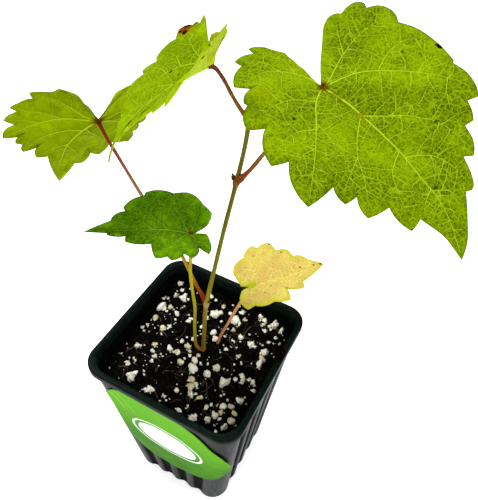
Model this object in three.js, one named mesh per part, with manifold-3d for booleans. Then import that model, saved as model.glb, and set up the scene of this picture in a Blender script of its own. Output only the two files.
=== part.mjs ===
// Young muscadine grape vine in a square starter pot, in millimetres, +Z up.
// The origin is the centre of the pot's underside; the labelled wall faces -Y.
import * as THREE from 'three';
import { mergeVertices } from 'three/addons/utils/BufferGeometryUtils.js';
import Module from 'manifold-3d';

const wasm = await Module();
wasm.setup();

// Driving dimensions of the pot
const POT_HEIGHT = 83;
const RIM_HALF = 30;
const RIM_CORNER = 7.5;
const LIP_HEIGHT = 3;
const LIP_OVERHANG = 1.2;
const LIP_ROUND = 0.6;
const BASE_HALF = 21.5;
const BASE_CORNER = 7;
const WALL = 1;
const FLOOR = 1.5;
const FLUTES_PER_FACE = 4;
const FLUTE_DEPTH = 0.9;
const FLUTE_TOP = 70;
const FLUTE_FADE = 3;
const DRAIN_RADIUS = 3.5;
const DRAIN_OFFSET = 11;

// Soil and perlite
const CLEARANCE = 0.3;
const SOIL_TOP = 75;
const SOIL_MOUND = 1.2;
const SOIL_DIMPLE = 0.5;
const SOIL_RIM_DROP = 3;
const SOIL_CELLS = [12, 3];
const SOIL_RINGS = 17;
const PERLITE_COUNT = 90;
const PERLITE_RADIUS = [0.9, 1.3];
const PERLITE_RISE = 0.7;
const PERLITE_SEED = 11;
const TIDY = 0.02;
const ROOT_DEPTH = 12;

// Larger granules as x, y and radius
const LARGE_GRANULES = [
  [-14.8, -22, 1.9], [6.5, -17, 1.5], [1.9, -8.8, 1.6], [3.8, -11.9, 1.4], [4.7, -14.5, 1.4],
  [10, -16.7, 1.4], [-23.5, 23.5, 1.7], [-23.5, 8.8, 1.9], [-22.3, 4.2, 1.5], [-18.1, 17.5, 1.8],
  [-4.6, -0.9, 1.5], [9.5, -4, 1.4], [14.3, -7.3, 1.8], [15.3, 11.5, 1.5], [21.6, 10.6, 1.7],
  [21.7, 5.3, 1.4], [19.2, 23.2, 1.9], [-2.9, 16.5, 2.1], [5, 18.3, 1.9], [22.4, -21.6, 1.5],
];

// Stem, stalks and blades
const STEM_RADIUS = [0.8, 0.56];
const NODE_RADIUS = 1.35;
const TUBE_SIDES = 8;
const STEM_STEPS = 30;
const STALK_STEPS = 14;
const BLADE_THICKNESS = 0.6;
const HUB_AHEAD = 1.5;
const HUB_BEHIND = 0.8;
const FOLD_BEHIND = 8;
const FOLD_MIDDLE = 0.48;
const TOOTH_BULGE = 0.12;
const BULGE_AT = 0.55;
const LONG_TOOTH = 3;
const RINGS = [0.3, 0.58, 0.82, 1];

// Label sticker
const LABEL_THICKNESS = 0.3;
const LABEL_CELLS = [18, 4];

const DEGREE = Math.PI / 180;
const v = (x, y, z) => new THREE.Vector3(x, y, z);

// Colours, roughness
const materials = {
  pot: new THREE.MeshStandardMaterial({ color: 0x1f2423, roughness: 0.45, metalness: 0 }),
  label: new THREE.MeshStandardMaterial({ color: 0x5fae2c, roughness: 0.5, metalness: 0 }),
  soil: new THREE.MeshStandardMaterial({ color: 0x1d1712, roughness: 0.95, metalness: 0 }),
  stem: new THREE.MeshStandardMaterial({ color: 0x7d7f2c, roughness: 0.6, metalness: 0 }),
  redStalk: new THREE.MeshStandardMaterial({ color: 0x8a4a35, roughness: 0.6, metalness: 0 }),
  yellowStalk: new THREE.MeshStandardMaterial({ color: 0xb5a32c, roughness: 0.6, metalness: 0 }),
  brightLeaf: new THREE.MeshStandardMaterial({ color: 0x7fb21c, roughness: 0.6, metalness: 0 }),
  darkLeaf: new THREE.MeshStandardMaterial({ color: 0x4f8f0c, roughness: 0.6, metalness: 0 }),
  yellowLeaf: new THREE.MeshStandardMaterial({ color: 0xe6cf5a, roughness: 0.65, metalness: 0 }),
};

// Helpers between three.js geometry and solids
function mix(a, b, t) {
  return a + (b - a) * t;
}

function smooth(t) {
  const c = Math.min(1, Math.max(0, t));
  return c * c * (3 - 2 * c);
}

function fromArrays(positions, triangles) {
  const geometry = new THREE.BufferGeometry();
  geometry.setAttribute('position', new THREE.Float32BufferAttribute(positions, 3));
  geometry.setIndex(triangles);
  return geometry;
}

function toSolid(geometry) {
  geometry.deleteAttribute('normal');
  geometry.deleteAttribute('uv');
  const merged = mergeVertices(geometry, 1e-4);
  return new wasm.Manifold(new wasm.Mesh({
    numProp: 3,
    vertProperties: new Float32Array(merged.attributes.position.array),
    triVerts: new Uint32Array(merged.index.array),
  }));
}

function toGeometry(solid) {
  const mesh = solid.getMesh();
  return fromArrays(Array.from(mesh.vertProperties), Array.from(mesh.triVerts));
}

// Smooth curve through points
function smoothRoute(points) {
  return new THREE.CatmullRomCurve3(points, false, 'centripetal');
}

// Numbers from 0 to 1 that are the same on every run
function seeded(seed) {
  let state = seed;
  return () => {
    state = (state * 1664525 + 1013904223) % 4294967296;
    return state / 4294967296;
  };
}

// Closed skin over a list of rings with equal point counts, capped by a fan at both ends
function skinOverRings(rings, firstCentre, lastCentre) {
  const count = rings[0].length;
  const positions = rings.flat(2).concat(firstCentre, lastCentre);
  const triangles = [];
  const first = rings.length * count;
  const last = first + 1;
  for (let j = 0; j < count; j += 1) {
    const next = (j + 1) % count;
    triangles.push(first, next, j);
    triangles.push(last, (rings.length - 1) * count + j, (rings.length - 1) * count + next);
    for (let i = 0; i + 1 < rings.length; i += 1) {
      const a = i * count + j;
      const b = i * count + next;
      triangles.push(a, b, b + count);
      triangles.push(a, b + count, a + count);
    }
  }
  return fromArrays(positions, triangles);
}

// Half width of the tapered wall at a height
function wallHalf(z) {
  return mix(BASE_HALF, RIM_HALF - LIP_OVERHANG, z / (POT_HEIGHT - LIP_HEIGHT));
}

// Rounded square, anticlockwise from the +X face, with sunk flutes across the flat of each face
function squareRing(half, corner, z, flute = 0, perFace = 16, perCorner = 4) {
  const ring = [];
  const flat = half - corner;
  for (let face = 0; face < 4; face += 1) {
    const turn = face * Math.PI / 2;
    const [cos, sin] = [Math.cos(turn), Math.sin(turn)];
    const place = (x, y) => [x * cos - y * sin, x * sin + y * cos, z];
    for (let i = 0; i < perFace; i += 1) {
      const across = i / perFace;
      const sink = flute * Math.sin(Math.PI * FLUTES_PER_FACE * across) ** 2;
      ring.push(place(half - sink, mix(-flat, flat, across)));
    }
    for (let i = 0; i < perCorner; i += 1) {
      const angle = (i / perCorner) * Math.PI / 2;
      ring.push(place(flat + corner * Math.cos(angle), flat + corner * Math.sin(angle)));
    }
  }
  return ring;
}

// Corner radius at a half width
function cornerAt(half) {
  return mix(BASE_CORNER, RIM_CORNER, (half - BASE_HALF) / (RIM_HALF - BASE_HALF));
}

function ringAt(half, z, flute) {
  return squareRing(half, cornerAt(half), z, flute);
}

function makePot() {
  const lipFoot = POT_HEIGHT - LIP_HEIGHT;
  const fluteFoot = FLUTE_TOP - FLUTE_FADE;
  const inner = (z, flute) => ringAt(wallHalf(z) - WALL, z, flute);
  const rings = [
    ringAt(BASE_HALF - LIP_ROUND, 0, FLUTE_DEPTH),
    ringAt(wallHalf(LIP_ROUND), LIP_ROUND, FLUTE_DEPTH),
    ringAt(wallHalf(fluteFoot), fluteFoot, FLUTE_DEPTH),
    ringAt(wallHalf(FLUTE_TOP), FLUTE_TOP, 0),
    ringAt(wallHalf(lipFoot), lipFoot, 0),
    ringAt(RIM_HALF, lipFoot, 0),
    ringAt(RIM_HALF, POT_HEIGHT - LIP_ROUND, 0),
    ringAt(RIM_HALF - LIP_ROUND, POT_HEIGHT, 0),
    ringAt(wallHalf(lipFoot) - WALL + LIP_ROUND, POT_HEIGHT, 0),
    ringAt(wallHalf(lipFoot) - WALL, POT_HEIGHT - LIP_ROUND, 0),
    inner(FLUTE_TOP, 0),
    inner(fluteFoot, FLUTE_DEPTH),
    inner(FLOOR, FLUTE_DEPTH),
  ];
  let pot = toSolid(skinOverRings(rings, [0, 0, 0], [0, 0, FLOOR]));
  for (let i = 0; i < 4; i += 1) {
    const angle = Math.PI / 4 + i * Math.PI / 2;
    const drain = new THREE.CylinderGeometry(DRAIN_RADIUS, DRAIN_RADIUS, 3 * FLOOR, 16);
    drain.rotateX(Math.PI / 2);
    const reach = DRAIN_OFFSET * Math.SQRT2;
    drain.translate(reach * Math.cos(angle), reach * Math.sin(angle), FLOOR / 2);
    pot = pot.subtract(toSolid(drain));
  }
  return toGeometry(pot);
}

// Outline of the label from its left to its right point, as run along the wall and height
const LABEL_UPPER = [[-21.5, 71], [-16, 77.2], [-8, 78.4], [8, 78.4], [14, 76], [19, 71], [23.2, 65],
  [25.6, 57], [27.4, 46.4]];
const LABEL_LOWER = [[-21.5, 71], [-19.5, 57.5], [-18.3, 44.2], [-16.4, 33.4], [-11.6, 26], [-5, 23.4],
  [3, 23.6], [13.8, 27.8], [21.5, 34.8], [27.4, 46.4]];

// Place on the labelled wall, wrapped round its corners
function onWall(run, z, away) {
  const half = wallHalf(z);
  const corner = cornerAt(half);
  const flat = half - corner;
  const angle = Math.max(0, Math.abs(run) - flat) / corner;
  const reach = Math.min(Math.abs(run), flat) + (corner + away) * Math.sin(angle);
  return [Math.sign(run) * reach, -flat - (corner + away) * Math.cos(angle), z];
}

function makeLabel() {
  const [columns, rows] = LABEL_CELLS;
  const curve = (points) => smoothRoute(points.map(([run, z]) => v(run, z, 0)));
  const upper = curve(LABEL_UPPER);
  const lower = curve(LABEL_LOWER);
  const faces = [LABEL_THICKNESS + CLEARANCE, CLEARANCE].map((away) => {
    const grid = [];
    for (let i = 0; i <= columns; i += 1) {
      const top = upper.getPointAt(i / columns);
      const bottom = lower.getPointAt(i / columns);
      for (let j = 0; j <= rows; j += 1) {
        const point = bottom.clone().lerp(top, j / rows);
        grid.push(onWall(point.x, point.y, away));
      }
    }
    return grid;
  });
  const triangles = [];
  const under = faces[0].length;
  const both = (a, b, c) => triangles.push(a, b, c, under + a, under + c, under + b);
  const side = (a, b) => triangles.push(a, under + a, under + b, a, under + b, b);
  for (let i = 0; i < columns; i += 1) {
    const low = i * (rows + 1);
    for (let j = 0; j < rows; j += 1) {
      const a = low + j;
      const b = a + rows + 1;
      both(a, b, b + 1);
      both(a, b + 1, a + 1);
    }
    side(low, low + rows + 1);
    side(low + 2 * rows + 1, low + rows);
  }
  return toGeometry(toSolid(fromArrays(faces.flat(2), triangles)));
}

// Height of the soil: a low mound with dimples
function soilHeight(x, y) {
  const reach = Math.max(Math.abs(x), Math.abs(y)) / RIM_HALF;
  const dimples = Math.sin(0.42 * x + 1.3) * Math.cos(0.36 * y - 0.4) + 0.6 * Math.sin(0.61 * y + 0.25 * x);
  return SOIL_TOP + SOIL_MOUND * (0.5 - reach * reach) + SOIL_DIMPLE * dimples;
}

// The larger granules, and small ones strewn between them, clear of each other and of the stalks
function scatterPerlite(spread, stakes) {
  const random = seeded(PERLITE_SEED);
  const placed = LARGE_GRANULES.map(([x, y, radius]) => ({ x, y, radius, height: radius * PERLITE_RISE }));
  for (const { x, y } of stakes) {
    placed.push({ x, y, radius: NODE_RADIUS + 2 * CLEARANCE, height: 0 });
  }
  for (let i = 0; i < PERLITE_COUNT; i += 1) {
    const x = mix(-spread, spread, random());
    const y = mix(-spread, spread, random());
    const radius = mix(...PERLITE_RADIUS, random());
    if (placed.every((p) => Math.hypot(p.x - x, p.y - y) > radius + p.radius)) {
      placed.push({ x, y, radius, height: radius * PERLITE_RISE });
    }
  }
  return placed;
}

// Soil filling whose top is raised into a round bump at each granule
function makeSoil(stakes) {
  const fillHalf = (z) => wallHalf(z) - WALL - FLUTE_DEPTH - CLEARANCE;
  const edge = SOIL_TOP - SOIL_RIM_DROP;
  const granules = scatterPerlite(fillHalf(SOIL_TOP) - PERLITE_RADIUS[1], stakes);
  const bump = (x, y) => Math.max(...granules.map((g) => {
    const far = Math.hypot(g.x - x, g.y - y) / g.radius;
    return far < 1 ? g.height * Math.sqrt(1 - far * far) : 0;
  }));
  const [perFace, perCorner] = SOIL_CELLS;
  const plain = (half, z) => squareRing(half, cornerAt(half), z, 0, perFace, perCorner);
  const rings = [plain(fillHalf(FLOOR), FLOOR + CLEARANCE), plain(fillHalf(edge), edge)];
  for (let ring = SOIL_RINGS; ring > 0; ring -= 1) {
    const flat = plain(fillHalf(edge), 0).map(([x, y]) => [x * ring / SOIL_RINGS, y * ring / SOIL_RINGS]);
    rings.push(flat.map(([x, y]) => [x, y, soilHeight(x, y) + bump(x, y)]));
  }
  let soil = toSolid(skinOverRings(rings, [0, 0, FLOOR + CLEARANCE], [0, 0, soilHeight(0, 0)]));
  for (const point of stakes) {
    const width = NODE_RADIUS + CLEARANCE;
    const hole = new THREE.CylinderGeometry(width, width, 2 * ROOT_DEPTH, 12);
    hole.rotateX(Math.PI / 2);
    hole.translate(point.x, point.y, SOIL_TOP);
    soil = soil.subtract(toSolid(hole));
  }
  return toGeometry(soil.simplify(TIDY));
}

// Stem and stalks: a round tube along a smooth route, tapering evenly, with round swellings fused on
function tube(route, [foot, top], steps) {
  const curve = smoothRoute(route);
  const { normals, binormals } = curve.computeFrenetFrames(steps);
  const rings = normals.map((normal, i) => {
    const place = curve.getPointAt(i / steps);
    const radius = mix(foot, top, i / steps);
    return Array.from({ length: TUBE_SIDES }, (_, j) => {
      const angle = (j / TUBE_SIDES) * 2 * Math.PI;
      return place.clone()
        .addScaledVector(normal, radius * Math.cos(angle))
        .addScaledVector(binormals[i], radius * Math.sin(angle))
        .toArray();
    });
  });
  return skinOverRings(rings, curve.getPointAt(0).toArray(), curve.getPointAt(1).toArray());
}

function swelling(place, width, length, direction) {
  const ball = new THREE.SphereGeometry(1, 8, 6);
  ball.scale(width, length, width);
  const turn = new THREE.Quaternion().setFromUnitVectors(v(0, 1, 0), direction.clone().normalize());
  ball.applyQuaternion(turn);
  ball.translate(place.x, place.y, place.z);
  return ball;
}

function makeStalk(route, radii, swellings = [], steps = STALK_STEPS) {
  let stalk = toSolid(tube(route, radii, steps));
  for (const { place, width, length, direction } of swellings) {
    stalk = stalk.add(toSolid(swelling(place, width, length, direction)));
  }
  return toGeometry(stalk.simplify(TIDY));
}

// Main stem from the soil to its tip, with the two visible nodes and the hidden top one
const SOIL_FOOT = SOIL_TOP - ROOT_DEPTH + CLEARANCE;
const NODES = { low: v(2.4, 0.8, 103.5), middle: v(9.4, 4.5, 154.5), top: v(11.5, 5.5, 173) };
const STEM_ROUTE = [
  v(1.3, 0.2, SOIL_FOOT), v(1.4, 0.2, 76), v(1.9, 0.5, 95), NODES.low, v(4.2, 2.4, 119),
  v(6.5, 3.6, 136), NODES.middle, v(10.8, 5.2, 165), NODES.top,
];
const UP_STEM = v(0.14, 0.07, 1);

// Leaves. The junction is where stalk and blade meet. Heading is the compass angle of the midrib,
// pitch its rise, roll the blade's turn about it. Droop bends the midrib down, in degrees a mm, up
// to the knee and past it.
// Right and left are the halves seen from above with the apex ahead. Each has its fold at the base,
// middle and apex, its curl in degrees a mm, the smooth edge of the sinus as [angle, radius], the swell of
// its last stretch to the apex, and teeth as [tip angle, tip radius, notch angle, notch radius] from
// base to apex. Angles are from the midrib.
const LEAVES = {
  large: {
    junction: v(26.6, 9.2, 183.7), heading: -28, pitch: -7, roll: 9, droop: [0.57, 0.57], knee: 30,
    apex: 46, wave: 0.5, waves: 5,
    right: {
      fold: [8, 8, 8], curl: -0.34, sinus: [[179, 15], [172, 19]],
      teeth: [[163, 20.5, 161, 18.5], [146, 20.5, 144, 18.5], [121, 19, 119, 15.5], [104, 18, 101, 17.5],
        [83, 21.5, 77, 18.5], [61, 25.5, 55, 23], [43, 31.5, 34, 26.5], [30, 30, 25, 28.5],
        [23, 33, 14, 31.5], [10, 37, 5, 35.5]],
      tail: -1.6,
    },
    left: {
      fold: [21, 21, 21], curl: -0.17, sinus: [[141, 14]], tail: 0.3,
      teeth: [[139, 19, 130, 19.5], [122, 23.5, 115, 22.5], [94, 21.6, 92, 21.2], [59, 26.7, 57, 26.3],
        [43, 30.5, 42, 28.5], [33, 30.5, 32, 29.5], [24, 33, 22, 31.5], [15, 37, 13, 36]],
    },
  },
  folded: {
    junction: v(2.8, 2.5, 185.1), heading: -130, pitch: -17, roll: 11, droop: [0.9, 3.2], knee: 20.5,
    apex: 33.5, wave: 0, waves: 4,
    right: {
      fold: [27, 8, -20], curl: 0, sinus: [[112, 5], [109, 9.3], [109, 12.8]], tail: -0.5,
      teeth: [[108, 15.7, 102.4, 13.6], [100.5, 14.5, 95.7, 14.2], [83.8, 15.8, 76.9, 14.2],
        [57, 16.3, 52, 15.3], [46, 19, 42, 18.8], [31, 22, 22, 21], [16, 24, 8, 22]],
    },
    left: {
      fold: [46, 10, 8], curl: 0, sinus: [[106, 6], [104.6, 9.5]], tail: -0.5,
      teeth: [[106.8, 13.3, 104.3, 13.7], [104.7, 15.2, 96.6, 14.6], [92.4, 18.6, 89.3, 11.8],
        [70, 13, 62, 13.5], [46, 19, 39, 16.5], [30, 18.3, 25, 17.3], [19, 20, 14, 19], [12, 22, 5, 20.8]],
    },
  },
  left: {
    junction: v(-29.7, -0.8, 162.4), heading: 177, pitch: -53, roll: 24, droop: [0, 0], knee: 25,
    apex: 37, wave: 0.4, waves: 4,
    right: {
      fold: [7, 7, 7], curl: 0, sinus: [[176, 12]], tail: 0.3,
      teeth: [[165, 18.5, 152, 17.5], [138, 19, 126, 18], [112, 19, 100, 18], [90, 19, 80, 17.5],
        [70, 19, 66, 18], [58, 21, 54, 20.5], [44, 26.5, 32, 19], [23, 25.5, 15, 21],
        [10, 27, 5, 24.5]],
    },
    left: {
      fold: [16, 20, 25], curl: 0, sinus: [[135, 8]], tail: 0.3,
      teeth: [[127, 17, 121, 17], [108, 19, 104, 17.5], [89, 21, 87, 20], [75, 22.5, 71, 21.5],
        [52, 26.5, 51, 22.5], [44, 24, 40, 23.5], [32, 26.5, 30, 22], [23, 26, 18, 24.5]],
    },
  },
  dark: {
    junction: v(-1.3, -1.7, 135.7), heading: -147, pitch: 12, roll: -3, droop: [0.57, 0.57], knee: 20,
    apex: 29.5, wave: 0.3, waves: 4,
    right: {
      fold: [15, 15, 15], curl: 0, sinus: [[150, 4]], tail: 0,
      teeth: [[128, 10, 108, 11], [84, 13.9, 68, 14], [44, 18.1, 40, 17.6], [21, 20.3, 18, 19.4],
        [10, 22.4, 8, 22.4]],
    },
    left: {
      fold: [14, 14, 14], curl: 0, sinus: [[172, 5]], tail: 0,
      teeth: [[118, 10, 110, 6.5], [90, 11.5, 78, 10], [68, 14.5, 61, 13.5], [53, 16, 30, 12.5],
        [17, 18.5, 9, 18], [5, 23, 3, 23]],
    },
  },
  yellow: {
    junction: v(11.8, 15.1, 103.1), heading: 43, pitch: 12, roll: -6, droop: [0, 0], knee: 18, apex: 26,
    wave: 0, waves: 3,
    right: {
      fold: [17, 17, 17], curl: -0.17, sinus: [[150, 5]], tail: 0.3,
      teeth: [[107, 13.5, 96, 12], [80, 14, 69, 14], [56, 18, 38, 13.5], [34, 19, 23, 18]],
    },
    left: {
      fold: [17, 17, 17], curl: -0.17, sinus: [[160, 3.6], [125, 8]], tail: 0.3,
      teeth: [[101, 11.2, 87, 12], [73, 16.5, 66, 15.5], [53, 18.5, 41, 16.5], [30, 19, 21, 18.5],
        [15, 21, 9, 22]],
    },
  },
};

// Point of a blade's edge from an angle off the midrib and a radius from the junction
function edgePoint(side, [angle, radius]) {
  return [side * radius * Math.sin(angle * DEGREE), radius * Math.cos(angle * DEGREE)];
}

// One half of the toothed edge, from the sinus up to the tooth before the apex. The long side of
// each tooth swells out by a share of its length.
function halfEdge(side, half, apex) {
  const edge = half.sinus.map((point) => edgePoint(side, point));
  let previous = edge[edge.length - 1];
  const bulge = (from, to, away) => {
    const length = Math.hypot(to[0] - from[0], to[1] - from[1]);
    const out = side * TOOTH_BULGE * away;
    const x = mix(from[0], to[0], BULGE_AT) + out * (to[1] - from[1]);
    const y = mix(from[1], to[1], BULGE_AT) - out * (to[0] - from[0]);
    return [x, y, length];
  };
  for (const [tipAngle, tipRadius, notchAngle, notchRadius] of half.teeth) {
    const tip = edgePoint(side, [tipAngle, tipRadius]);
    const [x, y, length] = bulge(previous, tip, 1);
    if (length > LONG_TOOTH) {
      edge.push([x, y]);
    }
    previous = edgePoint(side, [notchAngle, notchRadius]);
    edge.push(tip, previous);
  }
  const [x, y] = bulge(previous, [0, apex], half.tail);
  edge.push([x, y]);
  return edge;
}

// Place on an arc that starts at an angle and turns evenly, after running a length along it
function alongArc(length, start, turn) {
  const k = Math.abs(turn) < 1e-6 ? 1e-6 : turn;
  return [
    (Math.sin(start + k * length) - Math.sin(start)) / k,
    (Math.cos(start) - Math.cos(start + k * length)) / k,
  ];
}

// Frame of a blade: right, ahead and up
function bladeFrame(leaf) {
  const pitch = leaf.pitch * DEGREE;
  const heading = leaf.heading * DEGREE;
  const ahead = v(Math.cos(pitch) * Math.cos(heading), Math.cos(pitch) * Math.sin(heading), Math.sin(pitch));
  const level = v(Math.sin(heading), -Math.cos(heading), 0);
  const right = level.applyAxisAngle(ahead, leaf.roll * DEGREE);
  return { right, ahead, up: right.clone().cross(ahead) };
}

// How far a half is turned up about the midrib, in degrees
function foldAt([base, middle, apex], y, reach) {
  const half = FOLD_MIDDLE * reach;
  if (y < half) {
    return mix(base, middle, smooth((y + FOLD_BEHIND) / (half + FOLD_BEHIND)));
  }
  return mix(middle, apex, smooth((y - half) / (reach - half)));
}

// Flat point of a blade carried onto its folded, curled and drooping surface
function bladePoint(leaf, frame, x, y) {
  const side = x < 0 ? leaf.left : leaf.right;
  const fold = foldAt(side.fold, y, leaf.apex) * DEGREE;
  const [across, lift] = alongArc(Math.abs(x), fold, side.curl * DEGREE);
  const [bend, tailBend] = y > 0 ? leaf.droop.map((droop) => droop * DEGREE) : [0, 0];
  const body = Math.min(y, leaf.knee);
  const tail = y - body;
  const [bodyAlong, bodyFall] = alongArc(body, 0, bend);
  const [tailAlong, tailFall] = alongArc(tail, bend * body, tailBend);
  const turned = bend * body + tailBend * tail;
  const radius = Math.hypot(x, y) / leaf.apex;
  const raised = lift + leaf.wave * radius * radius * Math.sin(leaf.waves * Math.atan2(x, y));
  return leaf.junction.clone()
    .addScaledVector(frame.right, Math.sign(x) * across)
    .addScaledVector(frame.ahead, bodyAlong + tailAlong + raised * Math.sin(turned))
    .addScaledVector(frame.up, raised * Math.cos(turned) - bodyFall - tailFall);
}

function bladeNormal(leaf, frame, x, y) {
  const step = 0.05;
  const dx = bladePoint(leaf, frame, x + step, y).sub(bladePoint(leaf, frame, x - step, y));
  const dy = bladePoint(leaf, frame, x, y + step).sub(bladePoint(leaf, frame, x, y - step));
  return dx.cross(dy).normalize();
}

// Thin closed blade: rings of points between the hub and the edge, alike on both faces
function makeBlade(leaf) {
  const frame = bladeFrame(leaf);
  const left = halfEdge(-1, leaf.left, leaf.apex).reverse();
  const edge = [[0, -HUB_BEHIND], ...halfEdge(1, leaf.right, leaf.apex), [0, leaf.apex], ...left];
  const flat = [[0, HUB_AHEAD]];
  for (const share of RINGS) {
    for (const [x, y] of edge) {
      flat.push([x * share, mix(HUB_AHEAD, y, share)]);
    }
  }
  const positions = [];
  for (const face of [1, -1]) {
    for (const [x, y] of flat) {
      const offset = face * BLADE_THICKNESS / 2;
      const point = bladePoint(leaf, frame, x, y).addScaledVector(bladeNormal(leaf, frame, x, y), offset);
      positions.push(point.x, point.y, point.z);
    }
  }
  const count = edge.length;
  const under = flat.length;
  const triangles = [];
  const both = (a, b, c) => triangles.push(a, b, c, under + a, under + c, under + b);
  for (let j = 0; j < count; j += 1) {
    const next = (j + 1) % count;
    both(0, 1 + j, 1 + next);
    for (let i = 0; i + 1 < RINGS.length; i += 1) {
      const a = 1 + i * count + j;
      const b = 1 + i * count + next;
      both(a, a + count, b + count);
      both(a, b + count, b);
    }
    const rim = 1 + (RINGS.length - 1) * count;
    triangles.push(rim + j, under + rim + j, under + rim + next);
    triangles.push(rim + j, under + rim + next, rim + next);
  }
  return fromArrays(positions, triangles);
}

// The point just under a junction where its stalk ends, clear of the blade
function stalkEnd(leaf, radius) {
  const { up } = bladeFrame(leaf);
  return leaf.junction.clone().addScaledVector(up, -(BLADE_THICKNESS / 2 + CLEARANCE + radius));
}

const STALKS = {
  large: {
    radii: [0.62, 0.52], material: materials.redStalk,
    route: [v(10.85, 4.4, 156.2), v(13.2, 4.9, 160), v(16.4, 5.8, 166), v(20.9, 7.4, 174), v(24, 8.4, 179.4)],
  },
  folded: {
    radii: [0.5, 0.5], material: materials.redStalk,
    route: [v(9.94, 5.34, 174.26), v(8.4, 5.2, 176), v(7, 5, 178), v(5.05, 4.75, 181.15), v(3.9, 4.3, 183)],
  },
  left: {
    radii: [0.6, 0.5], material: materials.redStalk,
    route: [v(1.2, 1.3, 104.55), v(0, 1.75, 105.8), v(-1.7, 2.05, 107.9), v(-5, 2.5, 114), v(-7.5, 2.3, 120),
      v(-14.3, 1.8, 130.4), v(-19.9, 1.3, 140), v(-25.1, 0.5, 150.5), v(-28.2, -0.4, 158)],
  },
  dark: {
    radii: [0.6, 0.5], material: materials.yellowStalk,
    route: [v(0.33, -0.7, 77.3), v(-0.3, -1.15, 78.2), v(-0.8, -1.45, 81), v(-1, -1.5, 85), v(-1.3, -0.9, 93),
      v(-1.2, -0.6, 100.4), v(-1.9, -0.7, 109), v(-2.3, -0.9, 117), v(-1.9, -1.1, 126)],
  },
  yellow: {
    radii: [0.6, 0.52], material: materials.redStalk,
    route: [v(4, 6, SOIL_FOOT), v(4.2, 6.1, 76), v(6.8, 7.9, 86.3), v(9.1, 11.6, 95)],
  },
};

function makeObject() {
  const object = new THREE.Group();
  const add = (name, geometry, material) => {
    geometry.computeVertexNormals();
    const mesh = new THREE.Mesh(geometry, material);
    mesh.name = name;
    object.add(mesh);
  };
  add('pot', makePot(), materials.pot);
  add('label', makeLabel(), materials.label);
  add('soil', makeSoil([STEM_ROUTE[0], STALKS.yellow.route[0]]), materials.soil);
  const swellings = [
    { place: v(1.4, 0.2, 76), width: 1.1, length: 2, direction: UP_STEM },
    { place: NODES.low, width: 1.15, length: 1.8, direction: UP_STEM },
    { place: NODES.middle, width: NODE_RADIUS, length: 2.2, direction: UP_STEM },
    { place: v(8.6, 3.9, 156.5), width: 0.8, length: 1.5, direction: v(-0.4, -0.2, 1) },
    { place: NODES.top, width: 1.2, length: 2, direction: UP_STEM },
  ];
  add('stem', makeStalk(STEM_ROUTE, STEM_RADIUS, swellings, STEM_STEPS), materials.stem);
  for (const [name, stalk] of Object.entries(STALKS)) {
    const end = stalkEnd(LEAVES[name], stalk.radii[1]);
    add(`petiole_${name}`, makeStalk([...stalk.route, end], stalk.radii), stalk.material);
  }
  const bladeMaterials = { dark: materials.darkLeaf, yellow: materials.yellowLeaf };
  for (const [name, leaf] of Object.entries(LEAVES)) {
    add(`blade_${name}`, makeBlade(leaf), bladeMaterials[name] ?? materials.brightLeaf);
  }
  return object;
}

export default makeObject();
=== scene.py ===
"""A young muscadine grape vine in a square black starter pot, dressed for its portrait.

Shapes are worked out in millimetres and become metres when they enter Blender.
"""
import math

import bmesh
import bpy
import numpy as np
from mathutils import Matrix, Vector


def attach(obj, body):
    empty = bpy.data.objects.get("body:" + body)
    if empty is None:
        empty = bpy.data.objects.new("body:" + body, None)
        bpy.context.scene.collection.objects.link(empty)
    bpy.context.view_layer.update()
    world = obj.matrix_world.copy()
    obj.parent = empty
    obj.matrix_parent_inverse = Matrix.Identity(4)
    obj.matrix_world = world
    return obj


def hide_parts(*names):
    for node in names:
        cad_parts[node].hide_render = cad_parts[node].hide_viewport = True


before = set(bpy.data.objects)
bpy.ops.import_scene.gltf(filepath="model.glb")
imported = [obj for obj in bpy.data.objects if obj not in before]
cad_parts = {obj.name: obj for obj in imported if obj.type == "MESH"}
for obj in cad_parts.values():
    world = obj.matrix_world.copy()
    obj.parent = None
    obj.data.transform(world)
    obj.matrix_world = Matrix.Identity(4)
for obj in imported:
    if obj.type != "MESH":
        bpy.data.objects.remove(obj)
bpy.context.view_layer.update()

MM = 0.001
DEGREE = math.pi / 180

# Lattice of random values, repeated over the plane, and a shift that keeps its places above zero
LATTICE = 64
LATTICE_SHIFT = 1000.5

# Camera, fitted to the pot's rim and base in the photograph
CAMERA_PLACE = (56.75, -89.78, 237.71)
CAMERA_RIGHT = (0.88044, 0.47228, 0.04212)
CAMERA_UP = (-0.36492, 0.61822, 0.69616)
CAMERA_BACK = (0.30274, -0.62830, 0.71665)
CAMERA_LENS = 37.08
CAMERA_FILM = 36

# Pot
POT_HEIGHT = 83
RIM_HALF = 30
RIM_CORNER = 7.5
LIP_HEIGHT = 3
LIP_OVERHANG = 1.2
LIP_ROUND = 0.7
BASE_HALF = 21.5
BASE_CORNER = 7
WALL = 1
FLOOR = 1.5
FLUTES = 4
FLUTE_DEPTH = 0.9
FLUTE_TOP = 70
FLUTE_FADE = 3
DRAIN_RADIUS = 3.5
DRAIN_OFFSET = 11
DRAIN_SIDES = 32
FACE_POINTS = 88
CORNER_POINTS = 18
FOOT_ROUND = 1
LIP_FOOT_ROUND = 0.3
WALL_WARP = 0.12

# Soil
CLEARANCE = 0.3
SOIL_TOP = 75
SOIL_MOUND = 1.2
SOIL_DIMPLE = 0.5
SOIL_FOOT = 63.3
SOIL_CELLS = 168
SOIL_SPREAD = 0.9
SOIL_SINK = 0.3
# Rings of the soil's skirt as height and share of the top's outline
SOIL_SKIRT = [[70.0, 0.985], [45.0, 0.9], [FLOOR + CLEARANCE, 0.775]]
SMALL_GRANULES = 330
PEAT_CRUMBS = 620
SPILLED_CRUMBS = 26
BARK_FIBRES = 150
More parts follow.
